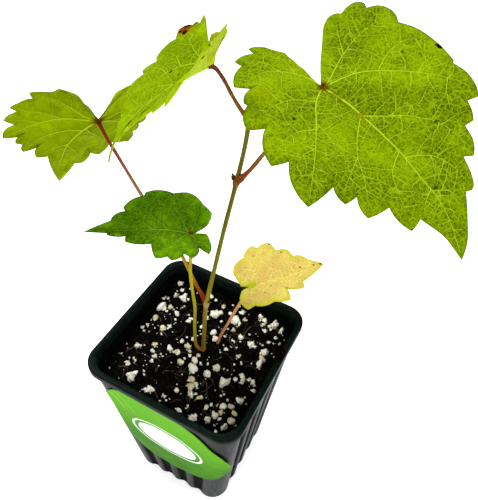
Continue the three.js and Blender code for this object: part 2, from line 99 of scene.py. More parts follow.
# Half widths of the fields where they are strewn, and how clear of the stems each kind stays
GRANULE_FIELD = 25.5
GRANULE_GAP = 1.8
CRUMB_FIELD = 25.4
CRUMB_GAP = 1.5
FIBRE_FIELD = 23
FIBRE_GAP = 3
FIBRE_LIMIT = 25
FIBRE_RINGS = 7
FIBRE_SIDES = 5
FIBRE_LIFT = 0.15
# Granules stay inside rounded corners, as the soil does
FIELD_CORNER = 19
FIELD_CORNER_REACH = 6.4
SMALLEST_GRANULE = 0.2
GRANULE_SPREAD = 0.95

# Granules of perlite as x, y and radius
GRANULES = [
    [-14.8, -22, 1.9], [6.5, -17, 1.5], [1.9, -8.8, 1.6], [3.8, -11.9, 1.4], [4.7, -14.5, 1.4],
    [10, -16.7, 1.4], [-23.5, 23.5, 1.7], [-23.5, 8.8, 1.9], [-22.3, 4.2, 1.5], [-18.1, 17.5, 1.8],
    [-4.6, -0.9, 1.5], [9.5, -4, 1.4], [14.3, -7.3, 1.8], [15.3, 11.5, 1.5], [21.6, 10.6, 1.7],
    [21.7, 5.3, 1.4], [19.2, 23.2, 1.9], [-2.9, 16.5, 2.1], [5, 18.3, 1.9], [22.4, -21.6, 1.5],
    [-20.1, 10.5, 1], [-16.4, 9.8, 1.2], [-19.1, -18, 1.1], [-6.6, -22.2, 1.2], [-15.1, -8.9, 1.1],
    [-9.4, -5.6, 1.3], [-2.9, -8.3, 1.1], [8, -7.7, 1.2], [18.6, -15.7, 1.2], [14.7, -16.6, 1],
    [18.5, -1.7, 1.2], [22.6, 22.6, 1.3], [5.5, 23, 1.2], [14.9, 24.4, 1.2], [23.6, -18.4, 1.2],
    [6.2, -24, 1.2],
]

# Label outline as run along the wall and height
LABEL_UPPER = [[-21.5, 71], [-16, 77.2], [-8, 78.4], [8, 78.4], [14, 76], [19, 71], [23.2, 65], [25.6, 57],
               [27.4, 46.4]]
LABEL_LOWER = [[-21.5, 71], [-19.5, 57.5], [-18.3, 44.2], [-16.4, 33.4], [-11.6, 26], [-5, 23.4], [3, 23.6],
               [13.8, 27.8], [21.5, 34.8], [27.4, 46.4]]
LABEL_THICKNESS = 0.14
LABEL_GAP = 0.34
LABEL_CELLS = [96, 72]
# The plain panel's middle and half sizes
PANEL_MIDDLE = [1.5, 51.5]
PANEL_RADII = [15.5, 11.5]
# Two creases at the label's top left: each as run plus half the height, and its width, in tenths of a metre
CREASES = [[0.2, 0.0045], [0.235, 0.003]]

# Stem and stalks, as routes with a radius
NODE_LOW = [2.4, 0.8, 103.5]
NODE_MIDDLE = [9.4, 4.5, 154.5]
NODE_TOP = [11.5, 5.5, 173]
STEM_IN_SOIL = [1.4, 0.2, 76]
YELLOW_STALK_IN_SOIL = [4.2, 6.1, 76]
STEM_ROUTE = [[1.3, 0.2, SOIL_FOOT], STEM_IN_SOIL, [1.9, 0.5, 95], NODE_LOW, [4.2, 2.4, 119],
              [6.5, 3.6, 136], NODE_MIDDLE, [10.8, 5.2, 165], NODE_TOP]
STEM_FOOT_RADIUS = 0.8
STEM_TOP_RADIUS = 0.56
STEM_RINGS = 330
STEM_SIDES = 24
STALK_STEP = 0.35
STALK_SIDES = 18
BUD_RINGS = 14
BUD_SIDES = 9
# Buds as place, direction, length, width and number of scales
BUDS = [
    [[9, 4.25, 154.9], [-0.3, -0.12, 1], 2.5, 0.8, 3],
    [[2.9, 0.9, 104.2], [0.5, -0.2, 1], 1.8, 0.6, 2],
    [[11.9, 5.7, 173.6], [0.3, 0.2, 1], 2.6, 0.75, 3],
]
DRY_COLLAR = [[4.2, 6.1, 75.4], [0.15, 0.1, 1], 2, 0.9, 4]

# Blades
HUB_AHEAD = 1.5
HUB_BEHIND = 0.8
FOLD_BEHIND = 8
FOLD_MIDDLE = 0.48
TOOTH_BULGE = 0.12
LONG_TOOTH = 3
BLADE_THICKNESS = 0.34
EDGE_THICKNESS = 0.45
EDGE_STEP = 0.5
BLADE_RINGS = 56
VEIN_STEP = 0.5
VEIN_SLIM = 0.85
VEIN_END = 0.975
# Width that a vein keeps at its tip, how strongly small veins are coloured, and a gap that no effect reaches
VEIN_TAPER = 0.28
SMALL_VEIN_TAPER = 0.6
RUNG_STRENGTH = 0.8
TWIG_STRENGTH = 0.5
CLEAR_OF_EFFECTS = 3.0
NORMAL_STEP = 0.25
# Flat maps are in hundreds of millimetres
FLAT_UNIT = 100

# Side veins: the step they grow by, how they set off and wander, and how close they come before they stop
RUNG_STEP = 0.45
RUNG_REACH = 9
RUNG_LEAN = 68
RUNG_SEED = 3
TWIG_REACH = 2.4
TWIG_LEAN = 80
TWIG_SEED = 4
LEAN_SPREAD = 14
WANDER = 0.13
START_FROM_EDGE = 0.9
STOP_AT_PARENT = 0.28
STOP_AT_OTHER = 0.3
STOP_AT_EDGE = 0.6
FAR_AWAY = 9.0

# Relief of a blade: how far from a vein its quilts and pillows reach full height, and where the edge rolls
QUILT_REACH = 2.2
PILLOW_REACH = 1.3
ROLL_START = 0.93

# Section of a vein: across as a share of its half width, and which of the two faces it belongs to
SECTION_ACROSS = np.array([1.0, 0.6, -0.6, -1.0, -0.5, 0.5])
UNDER_SIDE = np.array([0.0, 0.0, 0.0, 0.0, 1.0, 1.0])
SECTION_SINK = 0.05

# Light: lamps as name, place, size and power in metres and watts, all turned to the plant
LAMPS = [
    ["key", (-0.75, 0.15, 1.3), 0.35, 15.0],
    ["front", (-0.1, -1.0, 0.9), 0.6, 4.0],
    ["side", (0.8, 0.1, 0.45), 0.35, 2.6],
]
LAMP_TARGET = (0.005, 0, 0.1)
SKY_STRENGTH = 0.58
FLOOR_HALF = 1500
FLOOR_DROP = 0.2
FLOOR_TONE = 0.98
FLOOR_GLOW = 0.5


def catmull(points, count):
    """Smooth route through points: centripetal Catmull-Rom pieces, sampled at even shares of length."""
    p = np.asarray(points, float)
    first = 2 * p[0] - p[1]
    last = 2 * p[-1] - p[-2]
    q = np.vstack([first, p, last])
    gap = np.maximum(np.linalg.norm(np.diff(q, axis=0), axis=1), 1e-6) ** 0.5
    fine = []
    for i in range(len(p) - 1):
        a, b, c, d = q[i:i + 4]
        ta, tb, tc = gap[i:i + 3]
        u = np.linspace(0, 1, 24, endpoint=False)[:, None] * tb
        low = a + (b - a) * (u + ta) / ta
        mid = b + (c - b) * u / tb
        high = c + (d - c) * (u - tb) / tc
        left = low + (mid - low) * (u + ta) / (ta + tb)
        right = mid + (high - mid) * u / (tb + tc)
        fine.append(left + (right - left) * u / tb)
    fine = np.vstack(fine + [p[-1:]])
    run = np.concatenate([[0], np.cumsum(np.linalg.norm(np.diff(fine, axis=0), axis=1))])
    at = np.linspace(0, run[-1], count)
    return np.stack([np.interp(at, run, fine[:, k]) for k in range(p.shape[1])], -1)


def length_of(points):
    """Length of a broken line."""
    return float(np.linalg.norm(np.diff(np.asarray(points, float), axis=0), axis=1).sum())


def smooth(t):
    """Smooth step: 0 below 0, 1 above 1, 3tt - 2ttt between."""
    c = np.clip(t, 0, 1)
    return c * c * (3 - 2 * c)


def lumps(x, y, size, seed):
    """Smooth random relief between -1 and 1: values on a lattice of one size, blended by smooth steps."""
    lattice = np.random.default_rng(seed).uniform(-1, 1, (LATTICE, LATTICE))
    u = x / size + LATTICE_SHIFT
    v = y / size + LATTICE_SHIFT
    i = np.floor(u).astype(int)
    j = np.floor(v).astype(int)
    s = smooth(u - i)
    t = smooth(v - j)
    low, high = (lattice[i % LATTICE, k % LATTICE] * (1 - s) + lattice[(i + 1) % LATTICE, k % LATTICE] * s
                 for k in (j, j + 1))
    return low * (1 - t) + high * t


def lumps3(p, size, seed):
    """Smooth random relief in space, the mean of three flat reliefs on the three planes."""
    x, y, z = p[..., 0], p[..., 1], p[..., 2]
    return (lumps(x, y, size, seed) + lumps(y, z, size, seed + 1) + lumps(z, x, size, seed + 2)) / 1.7


def grid_faces(rows, columns, closed=False, start=0):
    """Quads between the points of a grid stored row by row; closed joins each row's end to its start."""
    wide = columns if closed else columns - 1
    i = np.arange(rows - 1)[:, None]
    j = np.arange(wide)[None]
    a = i * columns + j
    b = i * columns + (j + 1) % columns
    return start + np.stack([a, b, b + columns, a + columns], -1).reshape(-1, 4)


def fan(centre, ring):
    """Triangles from a centre to each side of a closed ring; points are given by number."""
    return np.stack([np.full(len(ring), centre), ring, np.roll(ring, -1)], -1)


def band(low, high):
    """Quads between two closed rings; points are given by number."""
    return np.stack([low, np.roll(low, -1), np.roll(high, -1), high], -1)


def rod_caps(steps, sides):
    """Triangles that close the first and the last ring of a rod."""
    j = np.arange(1, sides - 1)
    cap = np.stack([np.zeros(sides - 2, int), j, j + 1], -1)
    return np.vstack([cap[:, ::-1], cap + (steps - 1) * sides])


def repeated(faces, copies, size):
    """The faces of one part again for each of many equal parts, each with a number of points."""
    return (faces[None] + size * np.arange(copies)[:, None, None]).reshape(-1, faces.shape[1])


def new_piece(name, points, faces, material, node=None, attributes=None, flat=None):
    """Puts points in millimetres and faces (quads and triangles) into a mesh that rides on the root."""
    mesh = bpy.data.meshes.new(name)
    points = np.asarray(points, float) * MM
    mesh.vertices.add(len(points))
    mesh.vertices.foreach_set("co", points.astype(np.float32).ravel())
    loops = np.concatenate([np.asarray(f).ravel() for f in faces if len(f)])
    sizes = np.concatenate([np.full(len(f), np.asarray(f).shape[1]) for f in faces if len(f)])
    mesh.loops.add(len(loops))
    mesh.loops.foreach_set("vertex_index", loops.astype(np.int32))
    mesh.polygons.add(len(sizes))
    mesh.polygons.foreach_set("loop_start", np.concatenate([[0], np.cumsum(sizes)[:-1]]).astype(np.int32))
    mesh.polygons.foreach_set("loop_total", sizes.astype(np.int32))
    mesh.update(calc_edges=True)
    mesh.polygons.foreach_set("use_smooth", np.full(len(sizes), True))
    for key, values in (attributes or {}).items():
        layer = mesh.attributes.new(key, "FLOAT", "POINT")
        layer.data.foreach_set("value", np.asarray(values, np.float32))
    if flat is not None:
        layer = mesh.uv_layers.new(name="flat")
        layer.data.foreach_set("uv", np.asarray(flat, np.float32)[loops].ravel())
    mesh.materials.append(material)
    piece = bpy.data.objects.new(name, mesh)
    bpy.context.scene.collection.objects.link(piece)
    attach(piece, "root")
    if node:
        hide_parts(node)
    return piece


# Leaves
# The junction is where stalk and blade meet, and the apex is how far ahead of it the blade ends. Heading,
# pitch and roll turn the blade, in degrees. Droop bends it down in degrees a mm before and beyond the knee,
# and wave is the height of a number of waves round its edge.
# Right and left are the halves seen from above with the apex ahead: fold in degrees at base, middle and
# apex, curl in degrees a mm, the sinus and the lobes' points as [angle, radius], teeth as [tip angle, tip
# radius, notch angle, notch radius] from base to apex, and the last stretch to the apex as a route of such
# points or as a tail that swells by a share. Angles are degrees off the midrib.
# Veins are [width at the start, points x, y ahead of the junction in flat millimetres].
LEAVES = {
    "large": {
        "junction": [26.6, 9.2, 183.7], "heading": -28, "pitch": -7, "roll": 9,
        "droop": [0.57, 0.57], "knee": 30, "apex": 46, "wave": 0.5, "waves": 5,
        "right": {
            "fold": [8, 8, 8], "curl": -0.34, "sinus": [[179, 15], [172, 19]],
            "tail_route": [[3.6, 37], [1.6, 39.2], [0.5, 41.2], [0.2, 43.4]],
            "teeth": [[163, 20.5, 161, 18.5], [146, 20.5, 144, 18.5], [121, 19, 119, 15.5],
                      [104, 18, 101, 17.5], [83, 21.5, 77, 18.5], [61, 25.5, 55, 23], [43, 31.5, 34, 26.5],
                      [30, 30, 25, 28.5], [23, 33, 14, 31.5], [10, 37, 5, 35.5]],
        },
        "left": {
            "fold": [21, 21, 21], "curl": -0.17, "sinus": [], "teeth": [],
            "lobes": [[[146, 7], [142, 13.1], [141, 17.3], [138, 19.5], [134, 20.4], [130, 20.3]],
                      [[127.5, 22.2], [124, 23.6], [119, 23.7], [116, 22.5]],
                      [[111, 23.8], [105, 24], [99, 23.3], [94, 22]],
                      [[84, 23.3], [71, 24.7], [60, 26.2]], [[58.5, 26]],
                      [[54, 28], [48.5, 29.6], [44, 30.4]], [[41.5, 28.4]],
                      [[38, 29.6], [34.5, 30.4]], [[31.5, 29.3]],
                      [[28, 31.6], [25, 32.8], [23, 33.2]], [[21, 31.8]],
                      [[18, 34.6], [15.5, 36.5], [14, 36.9]], [[12.4, 36.3]]],
            "tail_route": [[9.6, 38.4], [6.8, 40.7], [3.9, 43.4], [1.8, 44.9]],
        },
        "veins": [
            [0.62, [0, 0.2], [-0.6, 3.6], [-1.2, 8], [-1.4, 12], [-1.8, 17], [-2.2, 23], [-2.2, 28],
             [-2.5, 33], [-2, 38], [-0.3, 44.6]],
            [0.52, [0, 0.2], [-2.2, 0.7], [-6.4, 2.2], [-9, 4], [-12.6, 7.6], [-15.8, 11.2], [-19.4, 16.2],
             [-21.3, 20.6]],
            [0.45, [0, 0.2], [-2, -0.4], [-8.4, -3.4], [-15.2, -5], [-20.6, -4.2], [-22.8, -2.2]],
            [0.5, [0, 0.2], [1.6, 1], [4.6, 3.4], [8.4, 8.2], [12.6, 13.4], [16.6, 17.8], [20, 21.4],
             [21.4, 22.8]],
            [0.42, [0, 0.2], [0.5, -3], [2.6, -6.6], [5.4, -9], [8, -10.2], [11.4, -9.8], [15, -8.4]],
            [0.28, [4.4, 3.2], [8.6, 0.4], [12.6, 0], [17, 1], [20.6, 2]],
            [0.28, [9.6, 9.6], [13, 8.4], [16.6, 8.8], [20.6, 11]],
            [0.3, [-10.4, 5.2], [-14.2, 3.5], [-17, 3], [-19.6, 3.6], [-22.6, 6.2]],
            [0.26, [-15.6, 11], [-18, 10], [-20.6, 10.4], [-22.2, 12.4]],
            [0.34, [-1.3, 11.2], [-4.8, 14.4], [-7.2, 16.2], [-9.4, 18.6], [-11.4, 21.2], [-12.6, 24.4],
             [-13.3, 29]],
            [0.34, [-1.3, 11], [3.2, 15], [6.4, 19], [8.8, 24], [11.8, 29]],
            [0.3, [-2.1, 22], [2.2, 25], [4, 28.6], [5.4, 33.4]],
            [0.3, [-2.3, 23.6], [-4.6, 24.8], [-6.8, 26.6], [-8.4, 30], [-9.1, 35]],
            [0.26, [-2.5, 31.5], [1, 34], [3.2, 37]],
            [0.26, [-2.5, 32], [-5, 33.6], [-6.2, 37]],
            [0.28, [-8.4, -3.4], [-11.2, -8.6], [-13.4, -12.2]],
            [0.26, [2.6, -6.6], [1.8, -11], [2.6, -16]],
            [0.24, [5.4, -9], [6, -12.5], [8.5, -15.5]],
            [0.24, [-5.3, 14.8], [-8.5, 14.8], [-11.5, 17]],
            [0.22, [12.6, 13.4], [16, 13.6], [19, 15.4]],
            [0.22, [6.4, 19], [10.5, 21.6], [15, 24.5]],
            [0.22, [-6.4, 2.2], [-7.5, -1.6]],
            [0.2, [8.4, 8.2], [8.6, 13.5], [10.6, 18.5]],
        ],
    },
    "folded": {
        "junction": [2.8, 2.5, 185.1], "heading": -130, "pitch": -17, "roll": 11,
        "droop": [0.9, 3.2], "knee": 20.5, "apex": 33.5, "wave": 0, "waves": 4,
        "right": {
            "fold": [27, 8, -20], "curl": 0, "sinus": [[112, 5], [109, 9.3], [109, 12.8]], "tail": -0.1,
            "teeth": [[108, 15.7, 102.4, 13.6], [100.5, 14.5, 95.7, 14.2], [83.8, 15.8, 76.9, 14.2],
                      [57, 16.3, 52, 15.3], [46, 19, 42, 18], [31, 22, 23, 19.8], [17, 24.5, 9, 21.4],
                      [9, 27, 4, 24.6]],
        },
        "left": {
            "fold": [46, 10, 8], "curl": 0, "sinus": [[100, 5.9], [104.2, 9.5]], "tail": -0.1,
            "teeth": [[106.8, 13.3, 104.3, 13.7], [104.7, 15.2, 97, 14.4], [91.6, 16.8, 89.3, 11.9],
                      [70, 13, 62, 13], [46, 19, 39, 16], [30, 18.6, 25, 16.8], [20, 20.4, 15, 18.2],
                      [13, 23.4, 6, 20.8], [9, 26.4, 3, 24.4]],
        },
        "veins": [
            [0.5, [0, 0.2], [0, 8], [0, 16], [0, 24], [0, 32.5]],
            [0.4, [0, 0.3], [2.2, 2.4], [4, 4.8], [5.2, 8], [6.6, 12.2], [8.2, 15.6], [9, 19.6]],
            [0.36, [0, 0.2], [5, 1.2], [10.2, 1], [14.4, 0.4]],
            [0.28, [4.4, 5.6], [8.8, 5.2], [12.6, 6.8]],
            [0.26, [5.6, 9], [8.6, 9.6], [11, 11], [12.6, 13]],
            [0.38, [0, 0.3], [-2.6, 2.6], [-5, 6], [-7.5, 10], [-11, 12.4]],
            [0.32, [0, 0.2], [-5, 0.2], [-9, -1.4], [-14.4, -3]],
            [0.26, [0, 9], [3.6, 12.8], [5.4, 17.6]],
            [0.26, [0, 9.5], [-3.6, 12.6], [-6, 16]],
            [0.22, [0, 15], [-2.4, 17.4], [-3.8, 19.4]],
            [0.22, [0, 14.5], [2.6, 18], [3.4, 21]],
            [0.22, [-5, 6], [-8.6, 5.4], [-11.4, 4.8]],
            [0.22, [10.2, 1], [12.4, -1.8], [14.2, -3.8]],
        ],
    },
    "left": {
        "junction": [-29.7, -0.8, 162.4], "heading": 177, "pitch": -53, "roll": 24,
        "droop": [0, 0], "knee": 25, "apex": 37, "wave": 0.4, "waves": 4,
        "right": {
            "fold": [7, 7, 7], "curl": 0, "sinus": [[176, 12]], "tail": 0.3,
            "teeth": [[165, 18.5, 152, 17.5], [138, 19, 126, 18], [112, 19, 100, 18], [90, 19, 80, 17.5],
                      [70, 19, 66, 18], [58, 21, 54, 20.5], [44, 26.5, 32, 19], [22, 26, 14, 21],
                      [10, 27.4, 3.4, 25.4]],
        },
        "left": {
            "fold": [16, 20, 25], "curl": 0, "sinus": [[135, 8]], "tail": 0.3,
            "teeth": [[127, 17, 121, 17], [111.5, 20.4, 105.4, 17.8], [88, 21.6, 84, 19.4],
                      [69, 23, 64, 20.8], [49, 26.6, 47.6, 22.4], [41.7, 25, 38.5, 23.8],
                      [31.6, 26.6, 30.6, 21.6], [21.5, 26.4, 17.5, 23.8]],
        },
        "veins": [
            [0.6, [0, 0.2], [-1.6, 3.6], [-3, 8.8], [-3.8, 14.8], [-3.2, 22.8], [-2, 31.6], [-0.6, 36.4]],
            [0.5, [0, 0.2], [-1.8, 0.3], [-9, 1.8], [-13.6, 6.2], [-17.4, 12.6], [-20.2, 17.8]],
            [0.44, [0, 0.2], [-3.4, -0.9], [-9.4, -4.6], [-13.2, -6.4], [-16.8, -6.8], [-19, -6]],
            [0.36, [-2.2, 5.6], [-6, 7.2], [-9.6, 10.8], [-12.4, 16.6], [-13.8, 22.4]],
            [0.42, [0, 0.2], [1, -7], [2.8, -13], [4.4, -17]],
            [0.46, [0, 0.2], [5, 1.6], [10, 4.4], [14, 9], [17.4, 16.6]],
            [0.38, [0, 0.2], [2, -0.4], [5.4, -2.6], [9.6, -4], [15, -4]],
            [0.34, [-1.8, 4.6], [3, 9], [6.5, 13.6], [8.4, 20], [10, 24]],
            [0.28, [-3.8, 14], [-7, 18], [-9.4, 23.4]],
            [0.28, [-3.8, 14.6], [0.4, 19], [2.8, 25]],
            [0.24, [-3, 24], [-6, 27], [-7.4, 29]],
            [0.24, [-9, 1.8], [-13.5, 0.6], [-18, 1]],
            [0.24, [-13.4, 6], [-17, 6], [-20.4, 8]],
            [0.24, [5, 1.6], [10.5, 1.4], [16, 2.6]],
            [0.22, [10, 4.4], [14, 5], [17.5, 8]],
            [0.22, [2.8, -13], [6, -13.6], [9.4, -12.6]],
        ],
    },
    "dark": {
        "junction": [-1.3, -1.7, 135.7], "heading": -147, "pitch": 12, "roll": -3,
        "droop": [0.57, 0.57], "knee": 20, "apex": 29.5, "wave": 0.3, "waves": 4,
        "right": {
            "fold": [15, 15, 15], "curl": 0, "sinus": [[150, 4]], "tail": 0,
            "teeth": [[128, 10, 108, 11], [84, 13.9, 68, 14], [44, 18.1, 40, 17.6], [21, 20.3, 18, 19.4],
                      [10, 22.4, 8, 22.4]],
        },
        "left": {
            "fold": [14, 14, 14], "curl": 0, "sinus": [[172, 5]], "tail": 0,
            "teeth": [[118, 10, 110, 6.5], [90, 11.5, 78, 10], [68, 14.5, 61, 13.5], [53, 16, 30, 12.5],
                      [17, 18.5, 9, 18], [5, 23, 3, 23]],
        },
        "veins": [
            [0.42, [0, 0.2], [0.2, 3.2], [0.4, 7.4], [0, 11.2], [-0.6, 18], [-0.2, 24], [0, 28.8]],
            [0.36, [0, 0.2], [1, 1], [6.6, 4.2], [10.6, 8.4]],
            [0.32, [0, 0.1], [1, -0.4], [6.2, -1.8], [9.6, -2]],
            [0.26, [0.5, 6.4], [5, 11.4], [8, 15]],
            [0.34, [0, 0.2], [-0.8, 1], [-6.4, 5.6], [-9.6, 9.6]],
            [0.28, [0, 0.1], [-3, -1.4], [-7, -3.4]],
            [0.24, [0, 10.4], [3.2, 14.6], [5, 18.4]],
            [0.26, [0.4, 7.8], [-4, 11.6], [-6.8, 15]],
            [0.2, [-0.6, 16], [-2.6, 18], [-3.4, 19]],
            [0.2, [6.6, 4.2], [9.6, 4], [12.4, 2.8]],
            [0.2, [-4, 3.6], [-7.6, 3.2], [-10.2, 2]],
        ],
    },
    "yellow": {
        "junction": [11.8, 15.1, 103.1], "heading": 43, "pitch": 12, "roll": -6,
        "droop": [0, 0], "knee": 18, "apex": 26, "wave": 0, "waves": 3,
        "right": {
            "fold": [17, 17, 17], "curl": -0.17, "sinus": [[150, 5]], "tail": 0.3,
            "teeth": [[107, 13.5, 96, 12], [80, 14, 69, 14], [56, 18, 38, 13.5], [34, 19, 23, 18]],
        },
        "left": {
            "fold": [17, 17, 17], "curl": -0.17, "sinus": [[160, 3.6], [125, 8]], "tail": 0.3,
            "teeth": [[101, 11.2, 87, 12], [73, 16.5, 66, 15.5], [53, 18.5, 41, 16.5], [30, 19, 21, 18.5],
                      [15, 21, 9, 22]],
        },
        "veins": [
            [0.4, [0, 0.2], [0.6, 7.2], [1.4, 14.2], [0.6, 20], [0, 25.4]],
            [0.34, [0, 0.2], [-1.6, 0.6], [-6.2, 3.4], [-9.8, 6.8], [-12.4, 10]],
            [0.28, [0.5, 6.4], [-1.2, 7.4], [-5.8, 10.4], [-8.4, 13]],
            [0.3, [0, 0.1], [-4, -1.6], [-8.6, -2]],
            [0.34, [0, 0.2], [4, 2.6], [8.6, 5.6], [13, 9]],
            [0.3, [0, 0.1], [5, -1], [10.6, -2.6]],
            [0.26, [0.8, 8], [5, 11.4], [8, 14.6]],
            [0.22, [1.4, 13.6], [-2.4, 16.8], [-4.8, 18.2]],
            [0.22, [1.3, 15], [4.2, 17.2], [6.6, 19]],
        ],
    },
}


def edge_point(side, polar):
    """Flat point from an angle off the midrib and a radius."""
    angle, radius = polar
    return np.array([side * radius * math.sin(angle * DEGREE), radius * math.cos(angle * DEGREE)])


def bowed(a, b, side, away):
    """Points from a to just before b on a parabola that swells out by a share of the length."""
    length = float(np.linalg.norm(b - a))
    count = max(2, int(length / EDGE_STEP))
    t = np.linspace(0, 1, count, endpoint=False)[:, None]
    across = b - a
    out = side * TOOTH_BULGE * away * np.array([across[1], -across[0]])
    return a + across * t + 4 * out * t * (1 - t)


def half_edge(side, half, apex):
    """The toothed edge of one half, dense, from the sinus to just before the apex: smooth lobes through
    points where the half lists them, or else teeth with a swollen long side, then the last stretch."""
    pieces = []
    last = np.array([0, -HUB_BEHIND])
    for polar in half["sinus"]:
        here = edge_point(side, polar)
        pieces.append(bowed(last, here, side, 0))
        last = here
    for lobe in half.get("lobes", []):
        pieces.append(smooth_edge([last] + [edge_point(side, polar) for polar in lobe]))
        last = edge_point(side, lobe[-1])
    for tip_angle, tip_radius, notch_angle, notch_radius in half["teeth"]:
        tip = edge_point(side, [tip_angle, tip_radius])
        notch = edge_point(side, [notch_angle, notch_radius])
        pieces.append(bowed(last, tip, side, 1 if np.linalg.norm(tip - last) > LONG_TOOTH else 0.4))
        pieces.append(bowed(tip, notch, side, 0.25))
        last = notch
    end = np.array([0, apex])
    if "tail_route" in half:
        pieces.append(smooth_edge([last] + [edge_point(side, polar) for polar in half["tail_route"]] + [end]))
    else:
        pieces.append(bowed(last, end, side, half["tail"]))
    return np.vstack(pieces)


def smooth_edge(points):
    """A smooth stretch of the edge through points, all but its last point."""
    return catmull(points, max(3, int(length_of(points) / EDGE_STEP) + 1))[:-1]


def blade_edge(leaf):
    """The whole edge: right half from sinus to apex, then the left half back to the sinus."""
    right = half_edge(1, leaf["right"], leaf["apex"])
    left = half_edge(-1, leaf["left"], leaf["apex"])
    return np.vstack([right, [[0, leaf["apex"]]], left[:0:-1]])


def along_arc(length, start, turn):
    """Place on an arc that starts at an angle and turns evenly: differences of sine and cosine over the
    turn."""
    k = np.where(np.abs(turn) < 1e-6, 1e-6, turn)
    return (np.sin(start + k * length) - np.sin(start)) / k, (np.cos(start) - np.cos(start + k * length)) / k


def fold_at(fold, y, reach):
    """Degrees that a half is turned up about the midrib, blended from base to middle to apex."""
    half = FOLD_MIDDLE * reach
    base, middle, apex = fold
    near = base + (middle - base) * smooth((y + FOLD_BEHIND) / (half + FOLD_BEHIND))
    far = middle + (apex - middle) * smooth((y - half) / (reach - half))
    return np.where(y < half, near, far)


def blade_frame(leaf):
    """Right, ahead and up of a blade from its heading, pitch and roll."""
    heading = leaf["heading"] * DEGREE
    pitch = leaf["pitch"] * DEGREE
    roll = leaf["roll"] * DEGREE
    level = math.cos(pitch)
    ahead = np.array([level * math.cos(heading), level * math.sin(heading), math.sin(pitch)])
    level = np.array([math.sin(heading), -math.cos(heading), 0])
    right = level * math.cos(roll) + np.cross(ahead, level) * math.sin(roll)
    return right, ahead, np.cross(right, ahead)


def blade_point(leaf, flat):
    """Flat points carried onto the folded, curled, waved and drooping middle surface of a blade."""
    x, y = flat[:, 0], flat[:, 1]
    right, ahead, up = blade_frame(leaf)
    sides = [leaf["left"], leaf["right"]]
    fold = np.where(x < 0, *[fold_at(side["fold"], y, leaf["apex"]) for side in sides]) * DEGREE
    curl = np.where(x < 0, *[side["curl"] for side in sides]) * DEGREE
    across, lift = along_arc(np.abs(x), fold, curl)
    bend = np.where(y > 0, leaf["droop"][0], 0) * DEGREE
    tail_bend = np.where(y > 0, leaf["droop"][1], 0) * DEGREE
    body = np.minimum(y, leaf["knee"])
    body_along, body_fall = along_arc(body, 0, bend)
    tail_along, tail_fall = along_arc(y - body, bend * body, tail_bend)
    turned = bend * body + tail_bend * (y - body)
    radius = np.hypot(x, y) / leaf["apex"]
    raised = lift + leaf["wave"] * radius * radius * np.sin(leaf["waves"] * np.arctan2(x, y))
    ahead_by = body_along + tail_along + raised * np.sin(turned)
    up_by = raised * np.cos(turned) - body_fall - tail_fall
    place = np.outer(np.sign(x) * across, right) + np.outer(ahead_by, ahead) + np.outer(up_by, up)
    return np.array(leaf["junction"]) + place


def blade_normal(leaf, flat):
    """Unit normals of the middle surface, from small steps across and ahead."""
    across, ahead = (blade_point(leaf, flat + step) - blade_point(leaf, flat - step)
                     for step in ([NORMAL_STEP, 0], [0, NORMAL_STEP]))
    normal = np.cross(across, ahead)
    return normal / np.linalg.norm(normal, axis=1, keepdims=True)


def edge_share(flat, edge):
    """How far out flat points lie as a share of the edge, along rays from the hub."""
    hub = np.array([0, HUB_AHEAD])
    angle = np.arctan2(*(edge - hub).T)
    order = np.argsort(angle)
    reach = np.linalg.norm(edge - hub, axis=1)
    here = np.interp(np.arctan2(*(flat - hub).T), angle[order], reach[order], period=2 * math.pi)
    return np.linalg.norm(flat - hub, axis=1) / here


def vein_routes(leaf, edge):
    """Each vein as its start width and its dense flat route, stopped just inside the edge."""
    routes = []
    for width, *points in leaf["veins"]:
        count = max(8, int(length_of(points) / VEIN_STEP))
        route = catmull(points, count)
        outside = np.flatnonzero(edge_share(route, edge) > VEIN_END)
        last = outside[0] if len(outside) else count
        routes.append((width, catmull(route[:max(last, 4)], max(last, 8))))
    return routes


def nearest_vein(flat, routes):
    """Distance from each flat point to the nearest piece of any vein, by projecting on each short piece."""
    best = np.full(len(flat), 99.0)
    for route in routes:
        thin = route[::3] if len(route) > 12 else route
        a = thin[:-1]
        b = np.vstack([thin[1:-1], route[-1:]])
        d = b - a
        t = np.einsum("nij,ij->ni", flat[:, None] - a[None], d) / np.maximum((d * d).sum(1), 1e-9)
        foot = a[None] + np.clip(t, 0, 1)[..., None] * d[None]
        best = np.minimum(best, np.linalg.norm(flat[:, None] - foot, axis=2).min(1))
    return best


